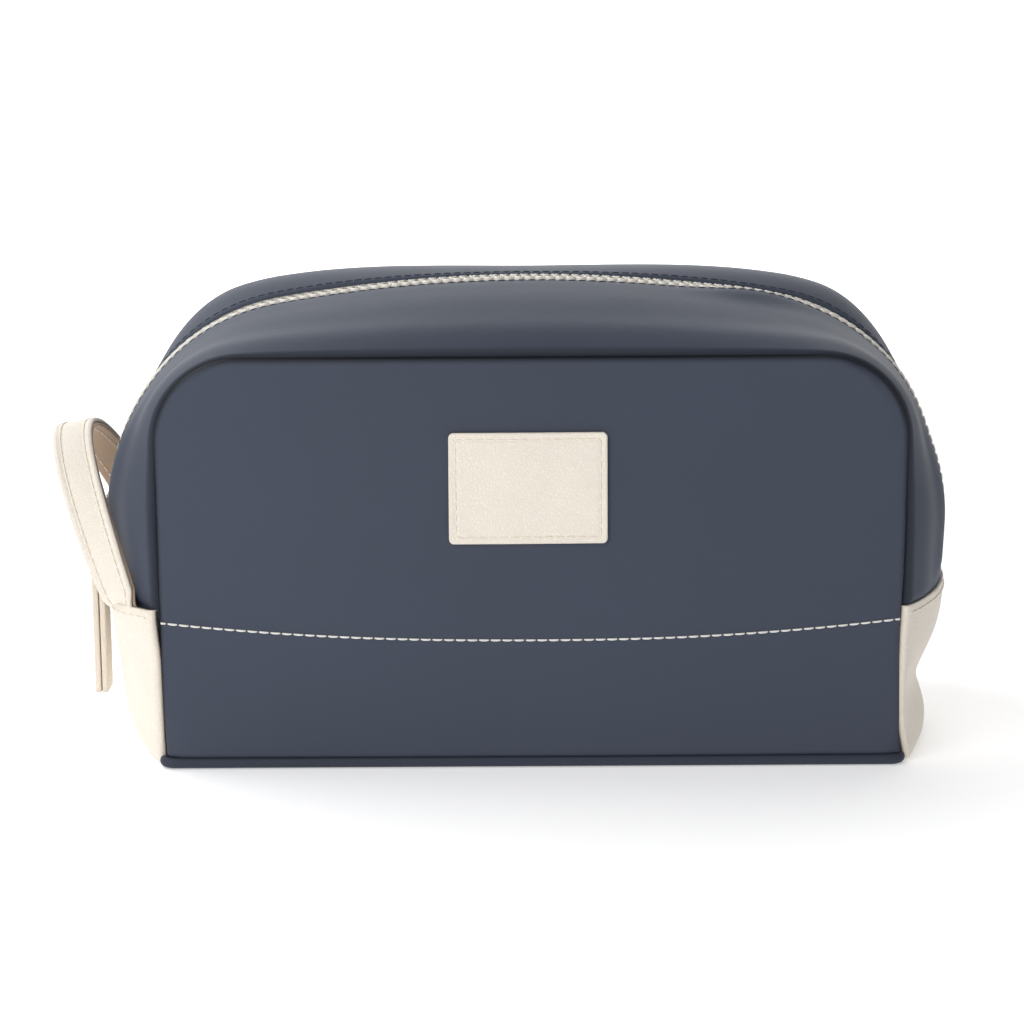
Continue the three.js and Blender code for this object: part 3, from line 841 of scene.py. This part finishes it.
def build_top_stitching():
    """The pale stitch line that carries the patches' edge across each big panel."""
    t, s = trim(), sizes()
    x = np.linspace(0.8 - s.seam_half, s.seam_half - 0.8, 400)
    z = t.stitch_side - t.stitch_dip * (1 - np.abs(x / s.seam_half) ** 2.3)
    for name, side in HALVES:
        share = x / panel_half(z)
        points = panel(side)(share, z)
        up = normals(panel(side), share, z)
        trim_row(f"{name}_top_stitching", points, up, "base_shell", t.stitch_pitch, t.thread,
                 white_thread, "navy_leatherette")


ARCH_LENGTH = 384  # along the zip from fold to fold, roughly
GUSSET_UNDER = 0.013  # how far the gusset runs on under the patches, as a share of the arch
SEAM_TUCK = 1.6  # how far the gusset's rolled edge stops short of the big panel's seam


def gusset(t, y):
    """The arch, and under the patches the end walls, as one sheet."""
    s = sizes()
    z = FOLD_Z - np.maximum(np.maximum(-t, t - 1), 0) * ARCH_LENGTH
    share = y / s.half_depth
    left, right = end_wall(-1)(z, share), end_wall(1)(z, share)
    over = arch(np.clip(t, 0, 1), y)
    t = np.broadcast_to(t, over.shape[:-1])[..., None]
    return np.where(t < 0, left, np.where(t > 1, right, over))


def build_gusset():
    """Two halves that run from fold to fold over the top: each rolls into the seam, and is
    turned under along the zip."""
    s = sizes()
    run = np.linspace(-GUSSET_UNDER, 1 + GUSSET_UNDER, 220)
    seam_edge = s.half_depth - SEAM_TUCK
    for name, side in HALVES:
        across = side * rows(s.zip_edge, seam_edge, 26, s.turn, close=7)

        def drop(t, y):
            d = np.abs(y)
            return roll((seam_edge - d) * 1.25, s.turn) + roll(d - s.zip_edge, 1.3)

        points, faces, _ = shell(run, across, gusset, s.hide, drop)
        # edge weights painted shade, darkest where the gusset rolls into the seam
        edge = np.exp(-((np.maximum(seam_edge - np.abs(points[:, 1]), 0) / 1.25) ** 2))
        obj = make_piece(f"{name}_gusset", points, faces, navy_leatherette(), edge)
        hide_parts(f"gusset_{name}")
        bend(obj, f"{name}_half")
        t = np.linspace(0.012, 0.988, 700)
        y = np.full_like(t, side * (s.zip_edge + 2.0))
        trim_row(f"{name}_gusset_stitching", gusset(t, y), normals(gusset, t, y), f"{name}_half",
                 3.3, 0.34, navy_thread, "navy_leatherette")


FOOT_SHARE = 0.74  # where the strap's feet lie across the end, as a share of the depth
PATCH_LIFT = 1.15  # how far a patch's face stands out from the end wall
PATCH_REACH = 0.985  # how far across the end a patch reaches, as a share of the depth


def patch(side):
    """An end patch's outer face: the end wall raised by the leather, and on the left swollen
    over the strap's feet."""
    wall = end_wall(side)

    def surface(z, share):
        point = wall(z, share)
        feet = hump(np.abs(share), FOOT_SHARE, 0.19) * smooth((z - 34) / 17)
        full = 1.6 * smooth((z - 14) / 30) * (1 - share**2)
        swell = PATCH_LIFT + (5.2 * feet + full if side < 0 else 0)
        point[..., 0] += side * swell * 0.92
        point[..., 1] += share * swell * 0.4
        return point

    return surface


def build_patches():
    """Leather over both lower ends, with a cut top edge and a stitch row under it."""
    t = trim()
    heights = rows(PATCH_LOW, t.patch_top, 40, 0.5, close=4)
    across = rows(-PATCH_REACH, PATCH_REACH, 60, 0.03)
    for name, side in ENDS:
        def drop(z, share):
            seam = (PATCH_REACH - np.abs(share)) * sizes().half_depth
            return roll(seam, 1.8) + roll(t.patch_top - z, 0.4) + roll(z - PATCH_LOW, 1.4)

        points, faces, edge = shell(heights, across, patch(side), 1.1, drop, rim=0.7)
        obj = make_piece(f"{name}_patch", points, faces, cream_leather(), edge)
        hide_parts(f"{name}_end_patch")
        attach(obj, "base_shell")
        share = np.linspace(0.03 - PATCH_REACH, PATCH_REACH - 0.03, 200)
        z = np.full_like(share, t.patch_top - 2.6)
        trim_row(f"{name}_patch_stitching", patch(side)(z, share), normals(patch(side), z, share),
                 "base_shell", t.fine_pitch, 0.6, cream_thread)


def rounded_outline(half_x, half_y, radius, per_corner=14, per_side=24):
    """A rounded rectangle as a closed ring of points, anticlockwise, with its outward normals."""
    parts, outward = [], []
    turn = np.linspace(0, math.pi / 2, per_corner)
    corners = [(1, 1, 0), (-1, 1, 1), (-1, -1, 2), (1, -1, 3)]
    for cx, cy, k in corners:
        a = turn + k * math.pi / 2
        ring = np.stack([np.cos(a), np.sin(a)], axis=-1)
        centre = np.array([cx * (half_x - radius), cy * (half_y - radius)])
        parts.append(centre + radius * ring)
        outward.append(ring)
        nx, ny, _ = corners[(k + 1) % 4]
        start = parts[-1][-1]
        first = np.array([math.cos(a[-1]), math.sin(a[-1])])
        end = np.array([nx * (half_x - radius), ny * (half_y - radius)]) + radius * first
        share = np.linspace(0, 1, per_side + 2)[1:-1, None]
        parts.append(start + (end - start) * share)
        outward.append(np.broadcast_to(first, (per_side, 2)))
    return np.concatenate(parts), np.concatenate(outward)


def stacked(levels, lay):
    """A closed solid of rings: levels are (ring of 2-D points, height), and lay(ring, height)
    carries each ring into space. The first and last rings are closed with one face each."""
    rings = [lay(ring, height) for ring, height in levels]
    n, m = len(rings), len(rings[0])
    caps = [np.arange(m)[None, ::-1], ((n - 1) * m + np.arange(m))[None]]
    return np.concatenate(rings), [grid_faces(n, m, close_m=True), *caps]


def base_ring(inset):
    """The base's outline as a ring of points: straight sides, and ends that bulge from corner to
    tip along a parabola."""
    tip, corner_x, half_y = BASE_TIP - inset, BASE_CORNER_X - inset, BASE_HALF_Y - inset
    y = np.linspace(-half_y, half_y, 60)
    end = corner_x + (tip - corner_x) * (1 - (y / half_y) ** 2)
    side = np.linspace(corner_x, -corner_x, 80)[1:-1]
    right = np.stack([end, y], axis=-1)
    back = np.stack([side, np.full_like(side, half_y)], axis=-1)
    return np.concatenate([right, back, -right, -back])


def build_base():
    """Flat underside with turned edges, and a rolled welt along each long edge whose ends turn
    in at the corners."""
    levels = [(base_ring(2.8), 0.0), (base_ring(1.0), 0.25), (base_ring(0), 0.9), (base_ring(0), 1.3),
              (base_ring(2.4), 1.6)]
    points, faces = stacked(levels, lambda r, h: vec(r[:, 0], r[:, 1], h))
    # edge of 0.3 paints shade over the underside's turned edges
    edge = np.concatenate([np.full(len(r), 0.3 if h else 0.0) for r, h in levels])
    under = make_piece("base_underside", points, faces, navy_leatherette(), edge)
    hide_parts("base_panel")
    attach(under, "base_shell")
    turn = np.linspace(0, math.pi / 2, 12)
    corner = np.stack([np.sin(turn), np.cos(turn)], axis=-1) * WELT_TURN
    corner += [WELT_X - WELT_TURN, WELT_Y - WELT_TURN]
    side = np.linspace(-1, 1, 120)[1:-1, None] * [WELT_X - WELT_TURN, 0] + [0, WELT_Y]
    line = np.concatenate([corner[::-1] * [-1, 1], side, corner])
    tangent = tangents(line)
    up = np.array([[0, 0, 1.0]]).repeat(len(line), 0)
    for name, way in HALVES:
        centre = vec(line[:, 0], way * line[:, 1], WELT_Z)
        out = vec(-tangent[:, 1], way * tangent[:, 0], 0)
        points, faces = bar(centre, out, up, WELT_RADIUS, WELT_RADIUS, sides=14, power=2.2)
        # edge of 0.3 paints shade over the whole welt
        edge = np.full(len(points), 0.3)
        welt = make_piece(f"{name}_welt", points, faces, navy_leatherette(), edge)
        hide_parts(f"base_welt_{name}")
        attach(welt, "base_shell")
    frame["nodes"]["base_board"].data.materials.clear()
    frame["nodes"]["base_board"].data.materials.append(base_board())


def label_surface(half_w, half_h, radius, lift):
    """A rounded rectangle laid on the front panel, as a function of the share across its width
    and of the height from its centre."""
    t = trim()

    def surface(share, h):
        over = np.clip(np.abs(h) - (half_h - radius), 0, radius)
        half = half_w - radius + np.sqrt(radius**2 - over**2)
        x, z = t.label_x + share * half, t.label_z + h
        return vec(x, -(panel_depth(x, z) + lift), z)

    return surface


def build_label():
    """A blank leather label with rounded corners and a rolled edge, sewn on all round: the stitches
    draw a groove, a bell in section, a little inside the edge."""
    t = trim()
    half_w, half_h, radius, thick = t.label_width / 2, t.label_height / 2, 1.7, 1.45
    surface = label_surface(half_w, half_h, radius, thick + 0.1)
    inset = 2.2

    def drop(share, h):
        gap = np.minimum(half_w * (1 - np.abs(share)), half_h - np.abs(h))
        groove = 0.22 * hump(gap, inset, 0.55)
        return roll(gap, 0.55) + groove

    columns = rows(-1, 1, 110, 0.9 / half_w, close=6)
    heights = rows(-half_h, half_h, 80, 0.9, close=6)
    points, faces, edge = shell(columns, heights, surface, thick, drop, rim=0.35)
    label = make_piece("label", points, faces, cream_leather(), edge)
    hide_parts("label_patch")
    bend(label, "front_half")
    ring, _ = rounded_outline(half_w - inset, half_h - inset, 1.0, 6, 60)
    x, z = t.label_x + ring[:, 0], t.label_z + ring[:, 1]
    points = vec(x, -(panel_depth(x, z) + thick - 0.08), z)
    up = np.broadcast_to(np.array([0, -1.0, 0]), points.shape)
    trim_row("label_stitching", points, up, "front_half", closed=True)


# The zip's teeth, seen from above: along the zip and across it, from the tape to the head.
TOOTH = np.array([
    (-1.2, -4.4), (1.2, -4.4), (1.36, -4.0), (1.36, -1.9), (0.7, -1.1), (0.62, -0.3),
    (0.82, 0.25), (0.78, 0.85), (0.4, 1.15), (-0.4, 1.15), (-0.78, 0.85), (-0.82, 0.25),
    (-0.62, -0.3), (-0.7, -1.1), (-1.36, -1.9), (-1.36, -4.0),
])
TOOTH_LEVELS = ((-1.0, 0.96), (0.35, 1.0), (0.85, 0.9), (1.05, 0.66))  # height and size of a layer


def build_zip():
    """Two woven tapes and two rows of moulded teeth whose heads interlock on the middle line."""
    s = sizes()
    for name, side in HALVES:
        run = np.linspace(0.002, 0.998, 200)
        across = side * np.array([0.35, 1.5, 3.0, 5.0, 8.0, 11.0, 13.5])
        points, faces, edge = shell(run, across, gusset, 0.55, lift=-0.95)
        tape = make_piece(f"{name}_zip_tape", points, faces, zip_tape(), edge)
        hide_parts(f"zip_tape_{name}", f"zip_tape_{name}_foot")
        bend(tape, f"{name}_half")
        t = np.linspace(0.008, 0.992, 1500)
        line = gusset(t, np.zeros_like(t))
        up = normals(gusset, t, np.full_like(t, 0.01))
        up[:, 1] = 0
        _, length_run, _ = along(line, 1.0)
        where = np.arange(s.tooth_pitch / (2 if side < 0 else 1), length_run[-1] - 1, s.tooth_pitch)
        centre, tangent, lift, _ = frames_along(line, up, where, length_run)
        heights, scales = np.array(TOOTH_LEVELS).T
        middle = TOOTH.mean(axis=0)
        outline = middle + (TOOTH - middle) * scales[:, None, None]
        body = (centre[:, None, None] + tangent[:, None, None] * outline[..., :1]
                + np.array([0, -side, 0.0]) * outline[..., 1:]
                + lift[:, None, None] * heights[:, None, None])
        faces = many_faces(len(where), len(heights), len(TOOTH))
        teeth = make_piece(f"{name}_zip_teeth", body, faces, zip_resin(), facing=False)
        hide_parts(f"zip_teeth_{name}", f"zip_teeth_{name}_foot")
        bend(teeth, f"{name}_half")


def slider_frame():
    """Seat of the slider on the zip's line at the left, and its outward and upward directions."""
    low, high = box_mm("slider_body")
    centre = (low + high) / 2
    out = np.array([centre[0] - SHOULDER[0], 0, centre[2] - SHOULDER[2]])
    out /= np.linalg.norm(out)
    seat = SHOULDER + out * sizes().shoulder_radius
    return seat, out, np.array([out[2], 0, -out[0]])


def build_slider():
    """Slider of two plates joined by a web that runs between the open rows, a cast crown over it,
    and a bent-wire ring. A plate is a rounded rectangle that narrows a little to its lower end,
    with bevelled faces; the crown is an arched bar, wider at its feet."""
    seat, out, up = slider_frame()
    depth = np.array([0, 1.0, 0])

    def lay(ring, height):
        return seat + ring[:, :1] * depth + ring[:, 1:] * up + out * height

    def plate(half_w, half_l, low, high, bevel):
        def outline(inset):
            radius = min(half_w, half_l) * 0.45 - inset * 0.5
            line, _ = rounded_outline(half_w - inset, half_l - inset, radius, 10, 8)
            waist = 1 - 0.16 * hump(line[:, 1], -half_l, half_l * 0.9)
            return line * np.stack([waist, np.ones_like(waist)], axis=-1)

        small, full = outline(bevel), outline(0)
        return stacked([(small, low), (full, low + bevel), (full, high - bevel), (small, high)], lay)

    upper, lower = plate(6.0, 6.2, 1.35, 2.6, 0.3), plate(6.0, 6.0, -4.2, -3.2, 0.2)
    web = stacked([(rounded_outline(0.3, 3.0, 0.2, 4, 3)[0], h) for h in (-3.3, -1.0, 1.4)], lay)
    points, faces, start = [], [], 0
    for part, sets in (upper, lower, web):
        points.append(part)
        faces.extend(f + start for f in sets)
        start += len(part)
    body = make_piece("slider_plates", np.concatenate(points), faces, slider_metal())
    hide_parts("slider_body")
    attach(body, "slider")

    turn = np.linspace(0, math.pi, 28)
    along_zip, height = 3.4 * np.cos(turn), 2.45 + 5.4 * np.sin(turn) ** 0.8
    centre = seat + up * along_zip[:, None] + out * height[:, None]
    wide = np.broadcast_to(depth, centre.shape)
    thick, half_wide = np.cross(tangents(centre), wide), 1.2 + 0.5 * np.cos(turn) ** 4
    points, faces = bar(centre, wide, thick, half_wide, 0.5, power=3)
    crown = make_piece("crown", points, faces, slider_metal())
    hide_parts("slider_crown")
    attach(crown, "slider")

    low, high = box_mm("pull_ring")
    middle, wire = (low + high) / 2, 0.72
    _, half_w, half_h = (high - low) / 2 - wire - 0.03
    line, outward = rounded_outline(half_w, half_h, 2.0, 12, 10)
    centre = middle + vec(0, line[:, 0], line[:, 1])
    ahead = np.array([[1.0, 0, 0]]).repeat(len(line), 0)
    points, faces = bar(centre, vec(0, outward[:, 0], outward[:, 1]), ahead, wire, wire, 10, 2, closed=True)
    ring = make_piece("ring", points, faces, slider_metal())
    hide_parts("pull_ring")
    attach(ring, "pull")


def build_pull_tab():
    """One strip of leather folded over the ring: its line runs up, round the wire and down."""
    low, high = box_mm("pull_tab")
    x = RING_PIVOT[0]
    layer = 2.1
    wire_z = high[2] - 1.1 - layer
    loop, legs = 1.15 + layer / 2, layer / 2 + 0.12
    share = np.linspace(0, 1, 50)
    side = loop + (legs - loop) * smooth(share / 0.22)
    down = wire_z - (wire_z - low[2]) * share
    turn = np.linspace(0, math.pi, 26)[1:-1]
    over_x = np.concatenate([side[::-1], loop * np.cos(turn), -side])
    over_z = np.concatenate([down[::-1], wire_z + loop * np.sin(turn), down])
    centre = vec(x + over_x, 0, over_z)
    wide = np.broadcast_to(np.array([0, 1.0, 0]), centre.shape)
    half = (high[1] - low[1]) / 2
    thick = np.cross(tangents(centre), wide)
    points, faces = bar(centre, wide, thick, half, layer / 2, sides=40, power=7)
    edge = np.exp(-(half - np.abs(points[:, 1])) / 0.3)
    tab = make_piece("pull_strip", points, faces, cream_leather(), edge)
    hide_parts("pull_tab")
    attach(tab, "pull")
    ring, _ = rounded_outline(half - 2.0, (wire_z - low[2]) / 2 - 4.2, 0.8, 5, 40)
    middle = (wire_z - 3.5 + low[2]) / 2
    for name, face in (("outer", -1), ("inner", 1)):
        points = vec(x + face * (legs + layer / 2 - 0.22), ring[:, 0], middle + ring[:, 1])
        trim_row(f"pull_stitching_{name}", points, vec(face, 0 * ring[:, 0], 0), "pull", closed=True)


def strap_line(count):
    """The handle's middle line from foot to foot with its width and outward directions: a cubic
    curve up each leg to a level top, and a short straight tuck of the foot behind the patch. The
    strap lies on the bag at its feet and has turned a quarter at the top."""
    foot, rise = np.array([-133.4, -45, 55]), np.array([-139, -46, 72])
    crest, apex = np.array([-152.5, -27, 102.5]), np.array([-152.5, 0, 102.5])
    u = np.linspace(0, 1, 400)[:, None]
    leg = (1 - u) ** 3 * foot + 3 * u * (1 - u) ** 2 * rise + 3 * u**2 * (1 - u) * crest + u**3 * apex
    tuck = np.array([foot + d * np.array([0.45 + 0.03 * d, 0.05, -1.0]) for d in (6.5, 5.0, 3.4, 1.7)])
    half = np.concatenate([tuck, leg])
    whole = np.concatenate([half, (half * [1, -1, 1])[-2::-1]])
    run = lengths_along(whole)
    where = np.linspace(0, run[-1], count)
    centre = at_lengths(where, run, whole)
    tangent = tangents(centre)
    climb = np.clip(1 - np.abs(2 * where / run[-1] - 1), 0, 1)
    turn = np.radians(60 + 30 * climb - 26 * smooth((56 - centre[:, 2]) / 6))
    back = np.where(where > run[-1] / 2, -1.0, 1.0)
    wide = vec(-np.sin(turn), back * np.cos(turn), -0.17 * climb)
    wide -= tangent * np.sum(wide * tangent, axis=1, keepdims=True)
    wide /= np.linalg.norm(wide, axis=1, keepdims=True)
    return centre, tangent, wide, np.cross(tangent, wide)


def build_handle():
    """The strap is two layers sewn together, the outer one with two stitch rows and raised
    edges."""
    t = trim()
    centre, tangent, wide, out = strap_line(150)
    half = t.strap_width / 2
    for name, node, offset, skin in (
        ("strap_outer", "handle_strap_outer", t.strap_layer / 2, cream_leather),
        ("strap_inner", "handle_strap_inner", -t.strap_layer / 2, cream_flesh),
    ):
        thick = t.strap_layer / 2 - 0.04
        points, faces = bar(centre + out * offset, wide, out, half, thick, sides=44, power=5)
        shape = points.reshape(len(centre), -1, 3)
        place = np.einsum("ijk,ik->ij", shape - centre[:, None], wide)
        edge = np.exp(-(half - np.abs(place)) / 0.3).ravel()
        if offset > 0:
            raised = 0.35 * hump(np.abs(place), half - 1.0, 0.7) - 0.2 * hump(np.abs(place), half - 2.6, 0.6)
            upper = np.einsum("ijk,ik->ij", shape - centre[:, None], out) > offset
            shape += out[:, None] * (raised * upper)[..., None]
        obj = make_piece(name, shape.reshape(-1, 3), faces, skin(), edge)
        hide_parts(node)
        bend_foot(obj)
    rows_at = half - 2.6
    for layer, face in (("outer", 1), ("inner", -1)):
        for name, place in (("front", 1), ("back", -1)):
            line = centre + wide * (place * rows_at) + out * (face * (t.strap_layer - 0.12))
            trim_row(f"strap_stitching_{layer}_{name}", line, out * face, "handle", inset=5.0)


def build_lining():
    """Twill sheets a little inside every wall, the pocket on the rear one, and the floor. Each
    follows its wall's own formula; the pocket stands a little further off along its top."""
    s = sizes()
    depth, cloth, inset = 2.0, 0.4, 3.0  # below the wall's face, thick, and short of its seams

    def add(name, points, faces, edge, nodes, half=None):
        obj = make_piece(name, points, faces, lining_twill(), edge)
        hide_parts(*nodes)
        if half:
            bend(obj, half)
        else:
            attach(obj, "base_shell")

    top = s.seam_top - inset
    for name, side in HALVES:
        def inner_panel(share, z):
            x = share * (panel_half(z + inset * smooth((z - 100) / 30)) - inset)
            return vec(x, side * (panel_depth(x, z) - s.hide), z)

        points, faces, edge = shell(np.linspace(-1, 1, 40), np.linspace(6, top, 40), inner_panel, cloth,
                                    lift=-(depth - s.hide))
        add(f"{name}_lining", points, faces, edge, [f"lining_{name}_upper", f"lining_{name}_lower"],
            f"{name}_half")
        across = side * np.linspace(12, s.half_depth - inset, 16)
        points, faces, edge = shell(np.linspace(0.0, 1.0, 120), across, gusset, cloth, lift=-depth)
        add(f"{name}_gusset_lining", points, faces, edge, [f"lining_gusset_{name}"],
            f"{name}_half")
    for name, side in ENDS:
        points, faces, edge = shell(np.linspace(6, FOLD_Z, 12), np.linspace(-0.94, 0.94, 30), end_wall(side),
                                    cloth, lift=-depth)
        add(f"{name}_end_lining", points, faces, edge, [f"lining_{name}_end"])
    points, faces = stacked([(base_ring(6), 3.4), (base_ring(6), 3.9)], lambda r, h: vec(r[:, 0], r[:, 1], h))
    add("floor_lining", points, faces, None, ["lining_base"])
    half = box_mm("slip_pocket")[1][0]
    low, high = box_mm("slip_pocket")[:, 2]

    def rear_wall(x, z):
        return vec(x, panel_depth(x, z) - s.hide, z)

    def slack(x, z):
        return -0.8 * smooth((high - z) / 6) * (1 - (x / half) ** 8)

    across, heights = np.linspace(-half, half, 50), rows(low, high, 20, 1.0)
    points, faces, edge = shell(across, heights, rear_wall, cloth, slack, lift=-3.6)
    add("pocket", points, faces, edge, ["slip_pocket"], "rear_half")


def studio_paper(name):
    """Matt white paper that glows a little, so that it stays white behind the bag."""
    sh = Shader(name, Specular_IOR_Level=0.1, Roughness=0.9, Emission_Color=(1, 1, 1, 1),
                Emission_Strength=0.36)
    return sh.finish(Base_Color=sh.mix(sh.noise(3, 2), (0.93, 0.93, 0.94), (0.95, 0.95, 0.955)))


def build_stage():
    """Camera a little above the bag, a pale floor that sweeps up behind it, and soft lights: a key
    from the front left, one from behind on the left, a weak fill and one for the backdrop."""
    scene = bpy.context.scene
    camera_data = bpy.data.cameras.new("camera")
    camera_data.lens = 98
    camera_data.sensor_width = 36
    camera = bpy.data.objects.new("camera", camera_data)
    camera.location = (-0.005, -0.921, 0.268)
    camera.rotation_euler = (math.radians(78), math.radians(0.35), 0)
    bpy.context.collection.objects.link(camera)
    scene.camera = camera

    turn, sweep, foot = np.linspace(0, math.pi / 2, 12), 0.9, 1.6
    far = np.concatenate([np.linspace(-3, foot, 12), foot + sweep * np.sin(turn), [foot + sweep]])
    high = np.concatenate([np.zeros(12), sweep - sweep * np.cos(turn), [3.5]])
    x = np.linspace(-4, 4, 9)
    points = vec(x[:, None], far[None], high[None] - 0.0001).reshape(-1, 3)
    mesh = bpy.data.meshes.new("floor")
    mesh.from_pydata(points, [], grid_faces(len(x), len(far)).tolist())
    mesh.polygons.foreach_set("use_smooth", np.ones(len(mesh.polygons), bool))
    mesh.materials.append(studio_paper("studio_paper"))
    floor = bpy.data.objects.new("floor", mesh)
    bpy.context.collection.objects.link(floor)

    scene.view_settings.view_transform = "Standard"
    world = bpy.data.worlds.new("studio")
    scene.world = world
    world.use_nodes = True
    world.node_tree.nodes["Background"].inputs[0].default_value = (1.0, 1.0, 1.0, 1)
    world.node_tree.nodes["Background"].inputs[1].default_value = 0.2
    for name, place, target, size, power in (
        ("key", (-0.55, -0.96, 0.7), (0, 0, 0.08), 0.9, 8.8),
        ("top", (-0.85, 0.4, 1.15), (0, 0, 0.1), 0.8, 9),
        ("fill", (1.2, -1.3, 0.7), (0, 0, 0.07), 1.2, 0.9),
        ("backdrop", (0, 1.2, 1.7), (0, 2.6, 1.1), 1.5, 60),
    ):
        light = bpy.data.lights.new(name, "AREA")
        light.size = size
        light.energy = power
        obj = bpy.data.objects.new(name, light)
        way = np.array(place) - np.array(target)
        tilt = math.acos(way[2] / np.linalg.norm(way))
        obj.location = place
        obj.rotation_euler = (tilt, 0, math.atan2(way[1], way[0]) + math.pi / 2)
        bpy.context.collection.objects.link(obj)


def operator(name, label, build):
    """An operator that makes one piece or group of like pieces."""

    def execute(self, context):
        build()
        return {"FINISHED"}

    return type(f"BAG_OT_{name}", (bpy.types.Operator,), {
        "__doc__": build.__doc__, "bl_idname": f"bag.{name}", "bl_label": label, "execute": execute,
    })


STEPS = [
    ("stage", "Camera, floor and lights", build_stage),
    ("panels", "Front and rear panels", build_panels),
    ("gusset", "Gusset halves", build_gusset),
    ("patches", "End patches", build_patches),
    ("base", "Base and welt", build_base),
    ("top_stitching", "Top-stitching", build_top_stitching),
    ("label", "Label", build_label),
    ("zip", "Zip tapes and teeth", build_zip),
    ("slider", "Slider, crown and ring", build_slider),
    ("pull_tab", "Pull tab", build_pull_tab),
    ("handle", "Handle", build_handle),
    ("lining", "Lining and pocket", build_lining),
]
OPERATORS = [operator(*step) for step in STEPS]


class BAG_PT_panel(bpy.types.Panel):
    """Lists the bag's sizes, colours and building steps."""

    bl_label = "Shaving Kit Bag"
    bl_idname = "BAG_PT_panel"
    bl_space_type = "VIEW_3D"
    bl_region_type = "UI"
    bl_category = "Bag"

    def draw(self, context):
        for group in (context.scene.bag_sizes, context.scene.bag_trim, context.scene.bag_colours):
            column = self.layout.column()
            for key in group.__annotations__:
                column.prop(group, key)
        for name, _, _ in STEPS:
            self.layout.operator(f"bag.{name}")


GROUPS = {"bag_sizes": BagSizes, "bag_trim": BagTrim, "bag_colours": BagColours}


def register():
    for key, group in GROUPS.items():
        bpy.utils.register_class(group)
        setattr(bpy.types.Scene, key, bpy.props.PointerProperty(type=group))
    for cls in (*OPERATORS, BAG_PT_panel):
        bpy.utils.register_class(cls)


def unregister():
    for cls in (BAG_PT_panel, *reversed(OPERATORS)):
        bpy.utils.unregister_class(cls)
    for key, group in GROUPS.items():
        delattr(bpy.types.Scene, key)
        bpy.utils.unregister_class(group)


def main():
    register()
    for name, _, _ in STEPS:
        getattr(bpy.ops.bag, name)()


if __name__ == "__main__":
    main()
